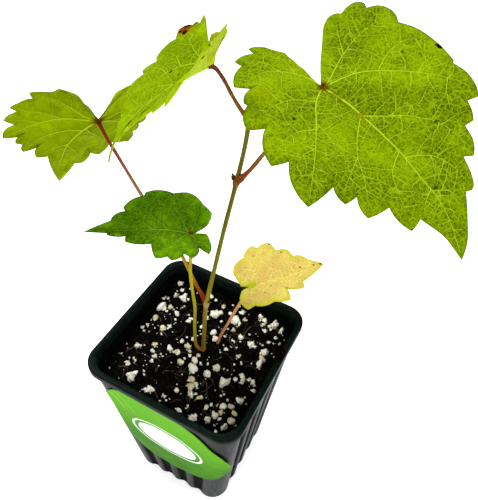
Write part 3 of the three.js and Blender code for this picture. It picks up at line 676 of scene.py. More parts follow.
def side_veins(parents, edge, gap, reach, lean, seed):
    """Small veins leaving larger ones on both sides at a spacing. All grow together by short steps, each
    wandering a little, and each stops where it comes close to a vein or to the edge. Given as an array of
    veins by points by x, y."""
    random = np.random.default_rng(seed)
    starts, angles = [], []
    for route in parents:
        run = np.concatenate([[0], np.cumsum(np.linalg.norm(np.diff(route, axis=0), axis=1))])
        count = max(1, int(run[-1] / gap))
        for side in (-1, 1):
            at = (np.arange(count) + 0.5 + random.uniform(-0.3, 0.3, count) + 0.2 * side) * gap
            at = at[at < run[-1]]
            x, y = np.interp(at, run, route[:, 0]), np.interp(at, run, route[:, 1])
            to_edge = np.linalg.norm(np.stack([x, y], -1)[:, None] - edge[None], axis=2).min(1)
            inside = to_edge > START_FROM_EDGE
            at, x, y = at[inside], x[inside], y[inside]
            tangent = np.gradient(route, axis=0)
            way = np.arctan2(np.interp(at, run, tangent[:, 1]), np.interp(at, run, tangent[:, 0]))
            starts.append(np.stack([x, y], -1))
            turn = lean + random.uniform(-LEAN_SPREAD, LEAN_SPREAD, len(at))
            angles.append(way + side * turn * DEGREE)
    place = np.vstack(starts)
    way = np.concatenate(angles)
    steps = int(reach / RUNG_STEP)
    limit = random.uniform(0.6, 1, len(place)) * steps
    walls = np.vstack([catmull(route, max(4, int(length_of(route) / 0.3))) for route in parents])
    alive = np.ones(len(place), bool)
    tracks = [place]
    for step in range(steps):
        way = way + random.normal(0, WANDER, len(way))
        move = RUNG_STEP * np.stack([np.cos(way), np.sin(way)], -1)
        place = place + move * alive[:, None]
        tracks.append(place)
        near = np.linalg.norm(place[:, None] - walls[None], axis=2).min(1) if step > 0 else FAR_AWAY
        to_edge = np.linalg.norm(place[:, None] - edge[None], axis=2).min(1)
        earlier = np.stack(tracks[:-1], 1)
        between = np.linalg.norm(place[:, None, None] - earlier[None], axis=3).min(2)
        np.fill_diagonal(between, FAR_AWAY)
        met = (near < STOP_AT_PARENT) | (between.min(1) < STOP_AT_OTHER) & (step > 1)
        inside = (edge_share(place, edge) < VEIN_END - 0.03) & (to_edge > STOP_AT_EDGE)
        alive = alive & ~met & inside & (step + 1 < limit)
    tracks = np.stack(tracks, 1)
    moved = np.linalg.norm(np.diff(tracks, axis=1), axis=2).sum(1)
    long_enough = moved > 1.2 * RUNG_STEP
    tracks = tracks[long_enough]
    last = moved[long_enough] / RUNG_STEP
    points = max(4, steps // 2 + 2)
    at = last[:, None] * np.linspace(0, 1, points)[None]
    low = np.minimum(at.astype(int), steps - 1)
    part = (at - low)[..., None]
    pick = np.arange(len(tracks))[:, None]
    return tracks[pick, low] * (1 - part) + tracks[pick, low + 1] * part


def blade_relief(leaf, flat, vein_gap, rung_gap, share):
    """Height of the blade over its middle surface: quilted up between veins, large and small, thinning
    out at the edge, where it rolls down a little."""
    quilt = leaf["quilt"] * (1 - np.exp(-(vein_gap / QUILT_REACH) ** 2))
    pillow = leaf["pillow"] * (1 - np.exp(-(rung_gap / PILLOW_REACH) ** 2))
    x, y = flat[:, 0], flat[:, 1]
    ripple = leaf["ripple"] * (lumps(x, y, 2.6, 5) + 0.4 * lumps(x, y, 1.1, 8))
    body = quilt + (pillow + ripple) * smooth(vein_gap / 0.8)
    rolled = leaf["roll_down"] * smooth((share - ROLL_START) / (1 - ROLL_START))
    return body * smooth((1 - share) * 9) - rolled


def make_blade(name, leaf, material):
    """A thin closed blade: rings from the hub to the toothed edge on both faces, with its veins as slim
    rods sunk in it, a little proud above and standing out below."""
    edge = blade_edge(leaf)
    count = len(edge)
    shares = np.linspace(0, 1, BLADE_RINGS + 1)[1:]
    hub = np.array([0, HUB_AHEAD])
    rings = hub + (edge - hub) * shares[:, None, None]
    flat = np.vstack([hub[None], rings.reshape(-1, 2)])
    share = np.concatenate([[0], np.repeat(shares, count)])
    routes = vein_routes(leaf, edge)
    mains = [route for _, route in routes]
    rungs = side_veins(mains, edge, leaf["rung_gap"], RUNG_REACH, RUNG_LEAN, RUNG_SEED)
    twigs = side_veins(mains + list(rungs), edge, leaf["twig_gap"], TWIG_REACH, TWIG_LEAN, TWIG_SEED)
    gap = nearest_vein(flat, mains)
    rung_gap = np.minimum(gap, nearest_vein(flat, list(rungs)))
    middle = blade_point(leaf, flat)
    normal = blade_normal(leaf, flat)
    relief = blade_relief(leaf, flat, gap, rung_gap, share)
    thickness = BLADE_THICKNESS * (EDGE_THICKNESS + (1 - EDGE_THICKNESS) * smooth((1 - share) * 12))
    top = middle + normal * (relief + thickness / 2)[:, None]
    under = middle + normal * (relief - thickness / 2)[:, None]
    amount = len(flat)
    quads = grid_faces(BLADE_RINGS, count, closed=True, start=1)
    first = np.arange(1, count + 1)
    inner = fan(0, first)
    rim = first + (BLADE_RINGS - 1) * count
    faces = [quads, inner, quads[:, ::-1] + amount, inner[:, ::-1] + amount, band(rim, rim + amount)[:, ::-1]]
    radial = np.linalg.norm(flat, axis=1)
    values = {
        "vein": [np.zeros(2 * amount)],
        "vein_gap": [gap, gap],
        "rung_gap": [rung_gap, rung_gap],
        "under": [np.zeros(amount), np.ones(amount)],
        "edge_gap": [(1 - share) * radial, (1 - share) * radial],
        "hub_gap": [radial, radial],
    }
    points = [top, under]
    flats = [flat, flat]
    start = 2 * amount
    rods = [(route[None], width * VEIN_SLIM, VEIN_TAPER, np.zeros((1, len(route))), 1.0)
            for width, route in routes]
    small = ((rungs, leaf["rung_width"], RUNG_STRENGTH), (twigs, leaf["twig_width"], TWIG_STRENGTH))
    for tracks, width, strength in small:
        spread = tracks.reshape(-1, 2)
        main_gap = nearest_vein(spread, mains)
        small_gap = np.minimum(main_gap, nearest_vein(spread, list(rungs)))
        lift = blade_relief(leaf, spread, main_gap, small_gap, edge_share(spread, edge))
        rods.append((tracks, width, SMALL_VEIN_TAPER, lift.reshape(tracks.shape[:2]), strength))
    for tracks, width, ending, lift, strength in rods:
        rod, rod_faces = vein_rods(leaf, tracks, width, ending, lift)
        sides = rod.shape[2]
        steps = np.linspace(0, 1, tracks.shape[1])
        points.append(rod.reshape(-1, 3))
        faces.extend([f + start for f in rod_faces])
        spread = np.repeat(tracks.reshape(-1, 2), sides, axis=0)
        flats.append(spread)
        values["vein"].append(np.tile(np.repeat(strength * (1 - 0.4 * steps), sides), len(tracks)))
        values["vein_gap"].append(np.full(len(spread), CLEAR_OF_EFFECTS))
        values["rung_gap"].append(np.zeros(len(spread)))
        values["under"].append(np.tile(UNDER_SIDE, tracks.shape[0] * tracks.shape[1]))
        values["edge_gap"].append(np.full(len(spread), CLEAR_OF_EFFECTS))
        values["hub_gap"].append(np.linalg.norm(spread, axis=1))
        start += len(spread)
    attributes = {key: np.concatenate(parts) for key, parts in values.items()}
    new_piece("leaf_" + name, np.vstack(points), faces, material, node="blade_" + name,
              attributes=attributes, flat=np.vstack(flats) / FLAT_UNIT)


def vein_rods(leaf, tracks, width, ending, lift):
    """Veins of one kind: a six-sided section carried along each flat route, tapering to a share of its
    width. The top stands a little proud of the upper face; the underside stands out more."""
    veins, steps = tracks.shape[:2]
    run = np.linspace(0, 1, steps)
    wide = width * (1 - (1 - ending) * run) / 2
    ahead = np.gradient(tracks, axis=1)
    ahead /= np.maximum(np.linalg.norm(ahead, axis=2, keepdims=True), 1e-9)
    aside = np.stack([ahead[..., 1], -ahead[..., 0]], -1)
    flat = tracks[:, :, None] + aside[:, :, None] * (SECTION_ACROSS[:, None] * wide[:, None, None])[None]
    sides = len(SECTION_ACROSS)
    place = blade_point(leaf, flat.reshape(-1, 2)).reshape(veins, steps, sides, 3)
    normal = blade_normal(leaf, tracks.reshape(-1, 2)).reshape(veins, steps, 3)
    half = BLADE_THICKNESS / 2
    proud = half + 0.02 + leaf["proud"] * wide
    rib = half + 0.9 * wide
    sunk = np.full(steps, half - SECTION_SINK)
    height = np.stack([sunk, proud, proud, sunk, -rib, -rib], -1)
    rod = place + normal[:, :, None] * (height[None] + lift[..., None])[..., None]
    parts = (grid_faces(steps, sides, closed=True), rod_caps(steps, sides))
    return rod, [repeated(part[:, ::-1], veins, steps * sides) for part in parts]


# Relief of each blade: quilting between the veins, small ripples, and how proud its veins stand above
RELIEF_PARTS = ("quilt", "pillow", "ripple", "proud", "roll_down", "rung_gap", "rung_width", "twig_gap",
                "twig_width")
RELIEF = {
    "large": (0.6, 0.2, 0.12, 0.25, 0.25, 3.4, 0.22, 1.5, 0.12),
    "folded": (0.45, 0.15, 0.1, 0.2, 0.1, 3.2, 0.19, 1.8, 0.12),
    "left": (1.2, 0.34, 0.16, 0.25, 0.3, 3.8, 0.14, 2.4, 0.08),
    "dark": (0.8, 0.24, 0.16, 0.2, 0.25, 2.8, 0.17, 1.7, 0.1),
    "yellow": (0.55, 0.18, 0.12, 0.3, 0.1, 3, 0.3, 2.2, 0.12),
}


# Node-building helpers
def new_material(name):
    """A material with its Principled shader, and its node tree."""
    material = bpy.data.materials.new(name)
    material.use_nodes = True
    tree = material.node_tree
    return material, tree, tree.nodes["Principled BSDF"]


def feed(tree, socket, value):
    """Links a socket to another one, or sets its value."""
    if isinstance(value, bpy.types.NodeSocket):
        tree.links.new(value, socket)
    else:
        socket.default_value = value


def add(tree, kind, inputs, **settings):
    """A node with inputs set or linked by number or name, and properties set by name."""
    node = tree.nodes.new(kind)
    for key, value in settings.items():
        setattr(node, key, value)
    for key, value in inputs.items():
        feed(tree, node.inputs[key], value)
    return node


def maths(tree, operation, a, b=0.0, clamp=False):
    """One sum on two values."""
    return add(tree, "ShaderNodeMath", {0: a, 1: b}, operation=operation, use_clamp=clamp).outputs[0]


def times(tree, a, b):
    """One value multiplied by another."""
    return maths(tree, "MULTIPLY", a, b)


def vectors(tree, operation, *values):
    """One sum on vectors, or on one vector."""
    return add(tree, "ShaderNodeVectorMath", dict(enumerate(values)), operation=operation).outputs


def oval(tree, flat, middle, radii):
    """How far a flat place is from an oval's middle, 1 on the oval; middle and radii in millimetres."""
    middle = (middle[0] / FLAT_UNIT, middle[1] / FLAT_UNIT, 0.0)
    radii = (radii[0] / FLAT_UNIT, radii[1] / FLAT_UNIT, 1.0)
    away = vectors(tree, "SUBTRACT", flat, middle)["Vector"]
    return vectors(tree, "LENGTH", vectors(tree, "DIVIDE", away, radii)["Vector"])["Value"]


def blend(tree, amount, a, b):
    """Two colours mixed by an amount."""
    return add(tree, "ShaderNodeMix", {0: amount, 6: a, 7: b}, data_type="RGBA", clamp_factor=True).outputs[2]


def stretched(tree, place, scale, turn=(0.0, 0.0, 0.0)):
    """Places turned and scaled, for grain that runs one way."""
    inputs = {"Vector": place, "Rotation": turn, "Scale": scale}
    return add(tree, "ShaderNodeMapping", inputs).outputs["Vector"]


def span(tree, value, low, high, to_low=0.0, to_high=1.0):
    """A value mapped smoothly from one span to another."""
    ends = {"Value": value, "From Min": low, "From Max": high, "To Min": to_low, "To Max": to_high}
    return add(tree, "ShaderNodeMapRange", ends, interpolation_type="SMOOTHSTEP").outputs["Result"]


def attribute(tree, name):
    """A float attribute of the mesh."""
    return add(tree, "ShaderNodeAttribute", {}, attribute_name=name).outputs["Fac"]


def object_place(tree):
    """Places in the object's own coordinates."""
    return add(tree, "ShaderNodeTexCoord", {}).outputs["Object"]


def flat_place(tree):
    """Places on the piece's own flat map."""
    return add(tree, "ShaderNodeUVMap", {}, uv_map="flat").outputs["UV"]


def noise(tree, place, scale, detail=3.0, roughness=0.55):
    """Noise between 0 and 1."""
    inputs = {"Vector": place, "Scale": scale, "Detail": detail, "Roughness": roughness}
    return add(tree, "ShaderNodeTexNoise", inputs).outputs["Fac"]


def cells(tree, place, scale):
    """Distance to the nearest edge of random cells."""
    inputs = {"Vector": place, "Scale": scale}
    return add(tree, "ShaderNodeTexVoronoi", inputs, feature="DISTANCE_TO_EDGE").outputs["Distance"]


def dress(tree, shader, colour, rough, height, strength, depth):
    """Gives a shader its colour, its roughness and a fine bump; depth in metres."""
    bump = add(tree, "ShaderNodeBump", {"Strength": strength, "Distance": depth, "Height": height})
    tree.links.new(colour, shader.inputs["Base Color"])
    tree.links.new(rough, shader.inputs["Roughness"])
    tree.links.new(bump.outputs["Normal"], shader.inputs["Normal"])


def new_group(name, inputs, outputs):
    """A shader node group with named sockets: its tree, the sockets that it is given and its output node."""
    group = bpy.data.node_groups.new(name, "ShaderNodeTree")
    for way, sockets in (("INPUT", inputs), ("OUTPUT", outputs)):
        for label, kind in sockets.items():
            group.interface.new_socket(name=label, in_out=way, socket_type="NodeSocket" + kind)
    return group, group.nodes.new("NodeGroupInput").outputs, group.nodes.new("NodeGroupOutput")


def place_group(tree, group, **inputs):
    """The outputs of a group that is placed in a material with its values."""
    node = tree.nodes.new("ShaderNodeGroup")
    node.node_tree = group
    for key, value in inputs.items():
        feed(tree, node.inputs[key.replace("_", " ")], value)
    return node.outputs


def rgb(red, green, blue):
    """A colour given as 0 to 255 on a screen, as linear light."""
    linear = [((c / 255 + 0.055) / 1.055) ** 2.4 if c > 10.3 else c / 255 / 12.92 for c in (red, green, blue)]
    return (*linear, 1.0)


def leaf_group():
    """Blade colour and height: two greens in patches, painted shade along veins, a fine net, grains, painted
    glints.
    """
    inputs = {"Flat": "Vector", "Light": "Color", "Deep": "Color", "Net": "Color", "Net Strength": "Float",
              "Patch Size": "Float", "Vein Gap": "Float", "Rung Gap": "Float", "Crease": "Float",
              "Grain": "Float"}
    group, given, made = new_group("leaf_surface", inputs, {"Colour": "Color", "Height": "Float"})
    flat = given["Flat"]
    sway = add(group, "ShaderNodeTexNoise", {"Vector": flat, "Scale": 90.0}).outputs["Color"]
    swayed = vectors(group, "MULTIPLY_ADD", sway, (0.006, 0.006, 0.0), flat)["Vector"]
    coarse = cells(group, swayed, 75.0)
    fine = cells(group, swayed, 170.0)
    coarse_line = span(group, coarse, 0.01, 0.1, 1.0, 0.0)
    fine_line = span(group, fine, 0.02, 0.16, 0.35, 0.0)
    patch = span(group, noise(group, flat, given["Patch Size"], 4.0), 0.3, 0.7)
    grain = noise(group, flat, 200.0, 3.0, 0.7)
    grain_amount = times(group, span(group, grain, 0.36, 0.64, -0.28, 0.28), given["Grain"])
    # Painted shade of the quilting: darker next to the small veins, lighter midway between them
    away = span(group, given["Rung Gap"], 0.1, 1.1, -0.16, 0.14)
    tone_and_shade = maths(group, "ADD", maths(group, "ADD", patch, grain_amount), away, clamp=True)
    # Painted shade in the creases along the veins, pulled to the deep green by the Crease amount
    near_vein_shade = maths(group, "MAXIMUM", span(group, given["Vein Gap"], 0.2, 1.8, 1.0, 0.0),
                   span(group, given["Rung Gap"], 0.1, 1.0, 0.7, 0.0))
    crease = times(group, near_vein_shade, given["Crease"])
    base = blend(group, crease, blend(group, tone_and_shade, given["Deep"], given["Light"]), given["Deep"])
    # Painted glints: fine bright speckles in the net colour
    glint = span(group, noise(group, flat, 330.0, 2.0, 0.6), 0.56, 0.64)
    lines = maths(group, "MAXIMUM", maths(group, "MAXIMUM", coarse_line, fine_line), times(group, glint, 0.9))
    netted = blend(group, times(group, lines, given["Net Strength"]), base, given["Net"])
    group.links.new(netted, made.inputs["Colour"])
    height = maths(group, "ADD", span(group, fine, 0.0, 0.3), grain)
    group.links.new(height, made.inputs["Height"])
    return group


def flecks_group():
    """Dark flecks: the middles of a few random cells, chosen by each cell's own colour."""
    inputs = {"Flat": "Vector", "Scale": "Float", "Share": "Float", "Size": "Float"}
    group, given, made = new_group("flecks", inputs, {"Mask": "Float"})
    inputs = {"Vector": given["Flat"], "Scale": given["Scale"]}
    grid = add(group, "ShaderNodeTexVoronoi", inputs, feature="F1").outputs
    chance = add(group, "ShaderNodeSeparateColor", {"Color": grid["Color"]}).outputs[0]
    chosen = maths(group, "LESS_THAN", chance, given["Share"])
    near = span(group, maths(group, "SUBTRACT", given["Size"], grid["Distance"]), 0.0, 0.08)
    group.links.new(times(group, near, chosen), made.inputs["Mask"])
    return group


def marked(tree, flat, wobble, mark, colour, tint):
    """A colour with one soft oval mark in a tint at a flat place, its outline made ragged by noise."""
    x, y, wide, tall, amount = mark
    ragged = maths(tree, "ADD", oval(tree, flat, (x, y), (wide, tall)), times(tree, wobble, 1.9))
    return blend(tree, times(tree, span(tree, ragged, 0.5, 1.15, 1.0, 0.0), amount), colour, tint)


def leaf_material(name, surface, flecks, look):
    """A living blade: netted green above, paler below, red at the junction, with marks by place."""
    material, tree, shader = new_material(name)
    flat = flat_place(tree)
    wobble = maths(tree, "SUBTRACT", noise(tree, flat, 70.0, 4.0, 0.65), 0.5)
    light, deep = look["light"], look["deep"]
    for mark in look.get("shaded", []):
        light = marked(tree, flat, wobble, mark, light, look["deep"])
    for mark in look.get("sunlit", []):
        deep = marked(tree, flat, wobble, mark, deep, look["light"])
    skin = place_group(tree, surface, Flat=flat, Light=light, Deep=deep, Net=look["net"],
                       Net_Strength=look["net_strength"], Patch_Size=look["patch"],
                       Vein_Gap=attribute(tree, "vein_gap"), Rung_Gap=attribute(tree, "rung_gap"),
                       Crease=look["crease"], Grain=look["grain"])
    pale = times(tree, attribute(tree, "under"), look["under_amount"])
    colour = blend(tree, pale, skin["Colour"], look["under"])
    colour = blend(tree, times(tree, attribute(tree, "vein"), look["vein_amount"]), colour, look["vein"])
    margin = span(tree, attribute(tree, "edge_gap"), 0.0, look["margin_reach"], look["margin_amount"], 0.0)
    colour = blend(tree, margin, colour, look["margin"])
    specks = place_group(tree, flecks, Flat=flat, Scale=look["fleck_scale"], Share=look["fleck_share"],
                         Size=look["fleck_size"])["Mask"]
    colour = blend(tree, times(tree, specks, look["fleck_amount"]), colour, look["fleck"])
    red = span(tree, attribute(tree, "hub_gap"), 0.6, look["red_reach"], 0.9, 0.0)
    colour = blend(tree, red, colour, look["red"])
    for *place, red, green, blue, amount in look.get("marks", []):
        colour = marked(tree, flat, wobble, [*place, amount], colour, rgb(red, green, blue))
    rough = span(tree, noise(tree, flat, 60.0), 0.3, 0.7, look["rough"] - 0.06, look["rough"] + 0.08)
    dress(tree, shader, colour, rough, skin["Height"], 0.6, 0.00022)
    shader.inputs["IOR"].default_value = look["bend"]
    shader.inputs["Specular Tint"].default_value = look["shine"]
    return material


# The look of each blade: colours, how strong each effect is, marks as x, y, two radii, red, green, blue and
# amount, and broad shaded and sunlit stretches as x, y, two radii and amount, all in flat millimetres
# crease is how strongly shade is painted in the deep green along the veins
BRIGHT_LOOK = {
    "light": rgb(126, 154, 0), "deep": rgb(62, 88, 0), "net": rgb(162, 190, 14), "net_strength": 0.54,
    "patch": 7.0, "under": rgb(136, 160, 14), "under_amount": 0.6, "vein": rgb(178, 206, 34),
    "vein_amount": 1.0, "margin": rgb(72, 100, 0), "margin_amount": 0.5, "margin_reach": 0.8,
    "fleck": rgb(40, 56, 0), "fleck_scale": 12.0, "fleck_share": 0.14, "fleck_size": 0.1,
    "fleck_amount": 0.8, "red": rgb(80, 16, 2), "red_reach": 2.0, "rough": 0.5, "bend": 1.04,
    "shine": (0.9, 1, 0.4, 1), "crease": 0.2, "grain": 1.0,
}
LOOKS = {
    "large": {
        **BRIGHT_LOOK,
        "marks": [
            [-22.8, 8.8, 0.7, 0.9, 4, 4, 4, 1], [13, -4, 1.6, 2.2, 160, 154, 0, 0.25],
            [14.5, -5.5, 0.4, 0.5, 160, 100, 10, 0.3], [-0.6, 4.4, 0.35, 3, 112, 66, 0, 0.5],
            [-1.3, 11.4, 0.45, 1.1, 130, 84, 4, 0.6], [-11.4, 21.2, 0.45, 0.35, 40, 50, 0, 0.9],
            [-3.4, 31.8, 0.4, 0.35, 44, 52, 0, 0.9], [12.2, 5.6, 0.4, 0.4, 20, 28, 0, 1],
            [-16.6, 5.4, 0.4, 0.35, 50, 60, 0, 0.8], [11.6, -0.4, 0.35, 0.3, 50, 62, 0, 0.8],
        ],
        "shaded": [
            [-9.6, -4.4, 3.4, 5.4, 0.6], [-4.6, 6.4, 3.2, 6.4, 0.65], [-8.6, 12.4, 4.2, 4.4, 0.55],
            [-15, 6.6, 2, 3, 0.45], [7.6, 3.6, 3.2, 3, 0.45],
        ],
        "sunlit": [
            [-20.4, -2.6, 2.4, 4, 0.7], [-17, 10.6, 2, 4.4, 0.6], [11.6, -6.4, 4, 2.6, 0.6],
            [19, 9.8, 2.4, 3.4, 0.6], [7.4, 13.4, 1.8, 5, 0.6], [-3.4, 25, 3, 3.4, 0.55],
        ],
    },
    "folded": {
        **BRIGHT_LOOK, "light": rgb(144, 172, 0), "deep": rgb(84, 116, 0), "under": rgb(182, 202, 50),
        "margin": rgb(176, 196, 40), "margin_amount": 0.6, "margin_reach": 0.5,
        "under_amount": 0.93, "net": rgb(170, 194, 14), "net_strength": 0.3, "red_reach": 1.3,
        "grain": 0.5, "crease": 0.35,
        "marks": [
            [-8.6, 2, 0.5, 0.5, 44, 56, 0, 1], [4.8, 8, 0.55, 0.5, 24, 38, 0, 1],
            [14.4, 0.4, 2.2, 2.6, 160, 130, 6, 0.85], [14.4, 0.5, 1.5, 2, 120, 56, 2, 0.9],
            [14.9, -0.6, 0.8, 1.2, 28, 8, 1, 1], [13.3, 0.9, 0.6, 0.8, 40, 14, 2, 1],
            [14.4, 1.7, 0.6, 0.5, 34, 10, 1, 1], [14.1, -2.1, 0.7, 0.8, 100, 42, 4, 0.9],
            [-14.4, -0.8, 1.2, 1.4, 150, 110, 4, 0.5], [-6, 0.4, 2.4, 1.6, 168, 170, 10, 0.5],
            [15.2, -4.6, 1, 1, 150, 130, 10, 0.3],
        ],
    },
    "left": {
        **BRIGHT_LOOK, "light": rgb(166, 192, 0), "deep": rgb(78, 100, 0), "under": rgb(136, 160, 0),
        "under_amount": 0.5, "vein": rgb(192, 214, 30), "net": rgb(156, 178, 6), "net_strength": 0.2,
        "red_reach": 2.8, "margin": rgb(70, 86, 0), "margin_amount": 0.5, "fleck": rgb(90, 110, 0),
        "fleck_scale": 30.0, "fleck_share": 0.4, "fleck_size": 0.16, "fleck_amount": 0.5, "crease": 0.7,
        "vein_amount": 0.85, "grain": 0.5,
    },
    "dark": {
        **BRIGHT_LOOK, "light": rgb(112, 166, 0), "deep": rgb(44, 86, 0), "net": rgb(120, 168, 10),
        "patch": 13.0, "vein": rgb(140, 180, 40), "vein_amount": 0.95, "under": rgb(94, 128, 6),
        "red": rgb(100, 46, 6), "red_reach": 1.0, "margin": rgb(36, 70, 0), "net_strength": 0.5,
        "grain": 0.8, "bend": 1.08, "rough": 0.34, "crease": 0.7, "shine": (0.7, 0.9, 0.6, 1),
    },
    "yellow": {
        **BRIGHT_LOOK, "light": rgb(222, 204, 92), "deep": rgb(196, 160, 86), "net": rgb(238, 226, 122),
        "net_strength": 0.35, "under": rgb(222, 204, 100), "vein": rgb(246, 238, 128), "vein_amount": 1.0,
        "margin": rgb(190, 188, 40), "margin_amount": 0.85, "margin_reach": 2.2,
        "fleck": rgb(140, 100, 36), "fleck_scale": 24.0, "fleck_share": 0.3, "fleck_size": 0.12,
        "fleck_amount": 0.5, "red": rgb(172, 178, 20), "red_reach": 3.2, "patch": 9.0,
        "shine": (1, 0.9, 0.4, 1), "crease": 0.5, "grain": 0.7,
        "marks": [
            [-4.6, 5, 2.6, 2.6, 212, 164, 96, 0.4], [-6.4, 10.6, 2.8, 1.8, 212, 166, 100, 0.4],
            [5, 7.5, 2.4, 2, 212, 170, 98, 0.35], [6, 1, 2.2, 1.8, 212, 172, 98, 0.35],
            [-14, 11, 0.4, 0.4, 84, 52, 20, 1], [-9.2, 13.8, 0.4, 0.4, 120, 84, 30, 1],
            [-0.6, 22.6, 0.45, 0.45, 74, 42, 12, 1], [-0.3, 25, 0.6, 0.5, 80, 48, 14, 1],
            [-1.2, 17.8, 0.4, 0.4, 100, 66, 22, 1], [4.6, 6, 0.5, 0.4, 74, 48, 16, 1],
            [6.8, 3.4, 0.35, 0.35, 100, 66, 22, 1], [-11, 4, 0.5, 0.4, 110, 110, 20, 0.8],
            [2.4, 16, 0.35, 0.35, 120, 90, 30, 1],
        ],
    },
}


def make_blades():
    """The five blades, each with its own look."""
    surface = leaf_group()
    flecks = flecks_group()
    for name, leaf in LEAVES.items():
        leaf.update(zip(RELIEF_PARTS, RELIEF[name]))
        material = leaf_material("leaf_" + name, surface, flecks, LOOKS[name])
        make_blade(name, leaf, material)


# Pot
def wall_half(z):
    """Half width of the tapered wall at a height."""
    return BASE_HALF + (RIM_HALF - LIP_OVERHANG - BASE_HALF) * z / (POT_HEIGHT - LIP_HEIGHT)


def corner_at(half):
    """Corner radius that grows with the wall."""
    return BASE_CORNER + (RIM_CORNER - BASE_CORNER) * (half - BASE_HALF) / (RIM_HALF - BASE_HALF)


def square_ring(half, corner, flute):
    """Rounded square as x, y: each face straight with sunk flutes of squared sine, then a quarter circle."""
    flat = half - corner
    across = np.arange(FACE_POINTS) / FACE_POINTS
    sink = flute * np.sin(math.pi * FLUTES * across) ** 2
    angle = np.arange(CORNER_POINTS) / CORNER_POINTS * math.pi / 2
    x = np.concatenate([half - sink, flat + corner * np.cos(angle)])
    y = np.concatenate([-flat + 2 * flat * across, flat + corner * np.sin(angle)])
    ring = []
    for turn in range(4):
        c, s = math.cos(turn * math.pi / 2), math.sin(turn * math.pi / 2)
        ring.append(np.stack([x * c - y * s, x * s + y * c], -1))
    return np.vstack(ring)


def groove_share(half, corner):
    """How sunk each point of a ring is: 1 at the bottom of a flute, 0 on a crest, a corner or plain wall."""
    sunk = np.abs(square_ring(half, corner, 0) - square_ring(half, corner, FLUTE_DEPTH)).max(1)
    return sunk / FLUTE_DEPTH


def quarter(count):
    """Sine and cosine of even angles over a quarter turn."""
    angle = np.linspace(0, math.pi / 2, count)
    return zip(np.sin(angle), np.cos(angle))


def pot_profile():
    """Rings of the pot as half width, height and share of the flutes' depth, from the foot outside over the
    lip to the floor inside."""
    lip_foot = POT_HEIGHT - LIP_HEIGHT
    flute_end = FLUTE_TOP - FLUTE_FADE
    round_middle = POT_HEIGHT - LIP_ROUND
    inner_lip = wall_half(lip_foot) - WALL + LIP_ROUND
    rings = [[wall_half(0) - FOOT_ROUND * (1 - s), FOOT_ROUND * (1 - c), 1.0] for s, c in quarter(7)]
    rings += [[wall_half(z), z, 1.0] for z in np.linspace(1.5, flute_end, 26)]
    for t in np.linspace(0.12, 1, 9):
        z = flute_end + FLUTE_FADE * t
        rings.append([wall_half(z), z, float(1 - smooth(t))])
    rings += [[wall_half(z), z, 0.0] for z in np.linspace(FLUTE_TOP + 1, lip_foot - 0.4, 6)]
    rings.append([wall_half(lip_foot) + 0.25, lip_foot - 0.05, 0.0])
    rings.append([RIM_HALF - 0.35, lip_foot, 0.0])
    rings += [[RIM_HALF - LIP_FOOT_ROUND * (1 - s), lip_foot + LIP_FOOT_ROUND * (1 - c), 0.0]
              for s, c in quarter(5)]
    rings += [[RIM_HALF - LIP_ROUND * (1 - c), round_middle + LIP_ROUND * s, 0.0] for s, c in quarter(8)]
    rings += [[inner_lip - LIP_ROUND * s, round_middle + LIP_ROUND * c, 0.0] for s, c in quarter(8)]
    rings += [[wall_half(z) - WALL, z, 0.0] for z in np.linspace(lip_foot, FLUTE_TOP, 6)]
    for t in np.linspace(0.15, 1, 7):
        z = FLUTE_TOP - FLUTE_FADE * t
        rings.append([wall_half(z) - WALL, z, float(smooth(t))])
    rings += [[wall_half(z) - WALL, z, 1.0] for z in np.linspace(flute_end - 6, FLOOR, 5)]
    return rings


def make_pot(material):
    """The pot: its profile carried round a rounded square, closed by fans, with four drain holes cut."""
    rings = pot_profile()
    loops = [square_ring(half, corner_at(half), FLUTE_DEPTH * flute) for half, _, flute in rings]
    count = len(loops[0])
    points = np.vstack([np.column_stack([loop, np.full(count, z)]) for loop, (_, z, _) in zip(loops, rings)])
    z = points[:, 2]
    warp = WALL_WARP * lumps3(points, 22, 3) * smooth((z - 4) / 20) * smooth((76 - z) / 8)
    outward = points[:, :2] / np.maximum(np.abs(points[:, :2]).max(1, keepdims=True), 1)
    points[:, :2] += outward * warp[:, None]
    total = len(points)
    points = np.vstack([points, [[0, 0, 0], [0, 0, FLOOR]]])
    ring = np.arange(count)
    foot = fan(total, ring)[:, ::-1]
    floor = fan(total + 1, ring + (len(rings) - 1) * count)
    quads = grid_faces(len(rings), count, closed=True)
    # How deep each point sits in a flute, and which rings make the inner wall: masks for the painted shade
    sunk = [groove_share(half, corner_at(half)) * flute for half, _, flute in rings]
    sunk = np.concatenate(sunk + [[0, 0]])
    crest = int(np.argmax([z for _, z, _ in rings]))
    lip_foot = POT_HEIGHT - LIP_HEIGHT
    inside = [np.full(count, float(k > crest and z < lip_foot)) for k, (_, z, _) in enumerate(rings)]
    pot = new_piece("pot_shell", points, [quads, foot, floor], material, node="pot",
                    attributes={"groove_shade": sunk, "inside": np.concatenate(inside + [[0, 1]])})
    cut_drains(pot)


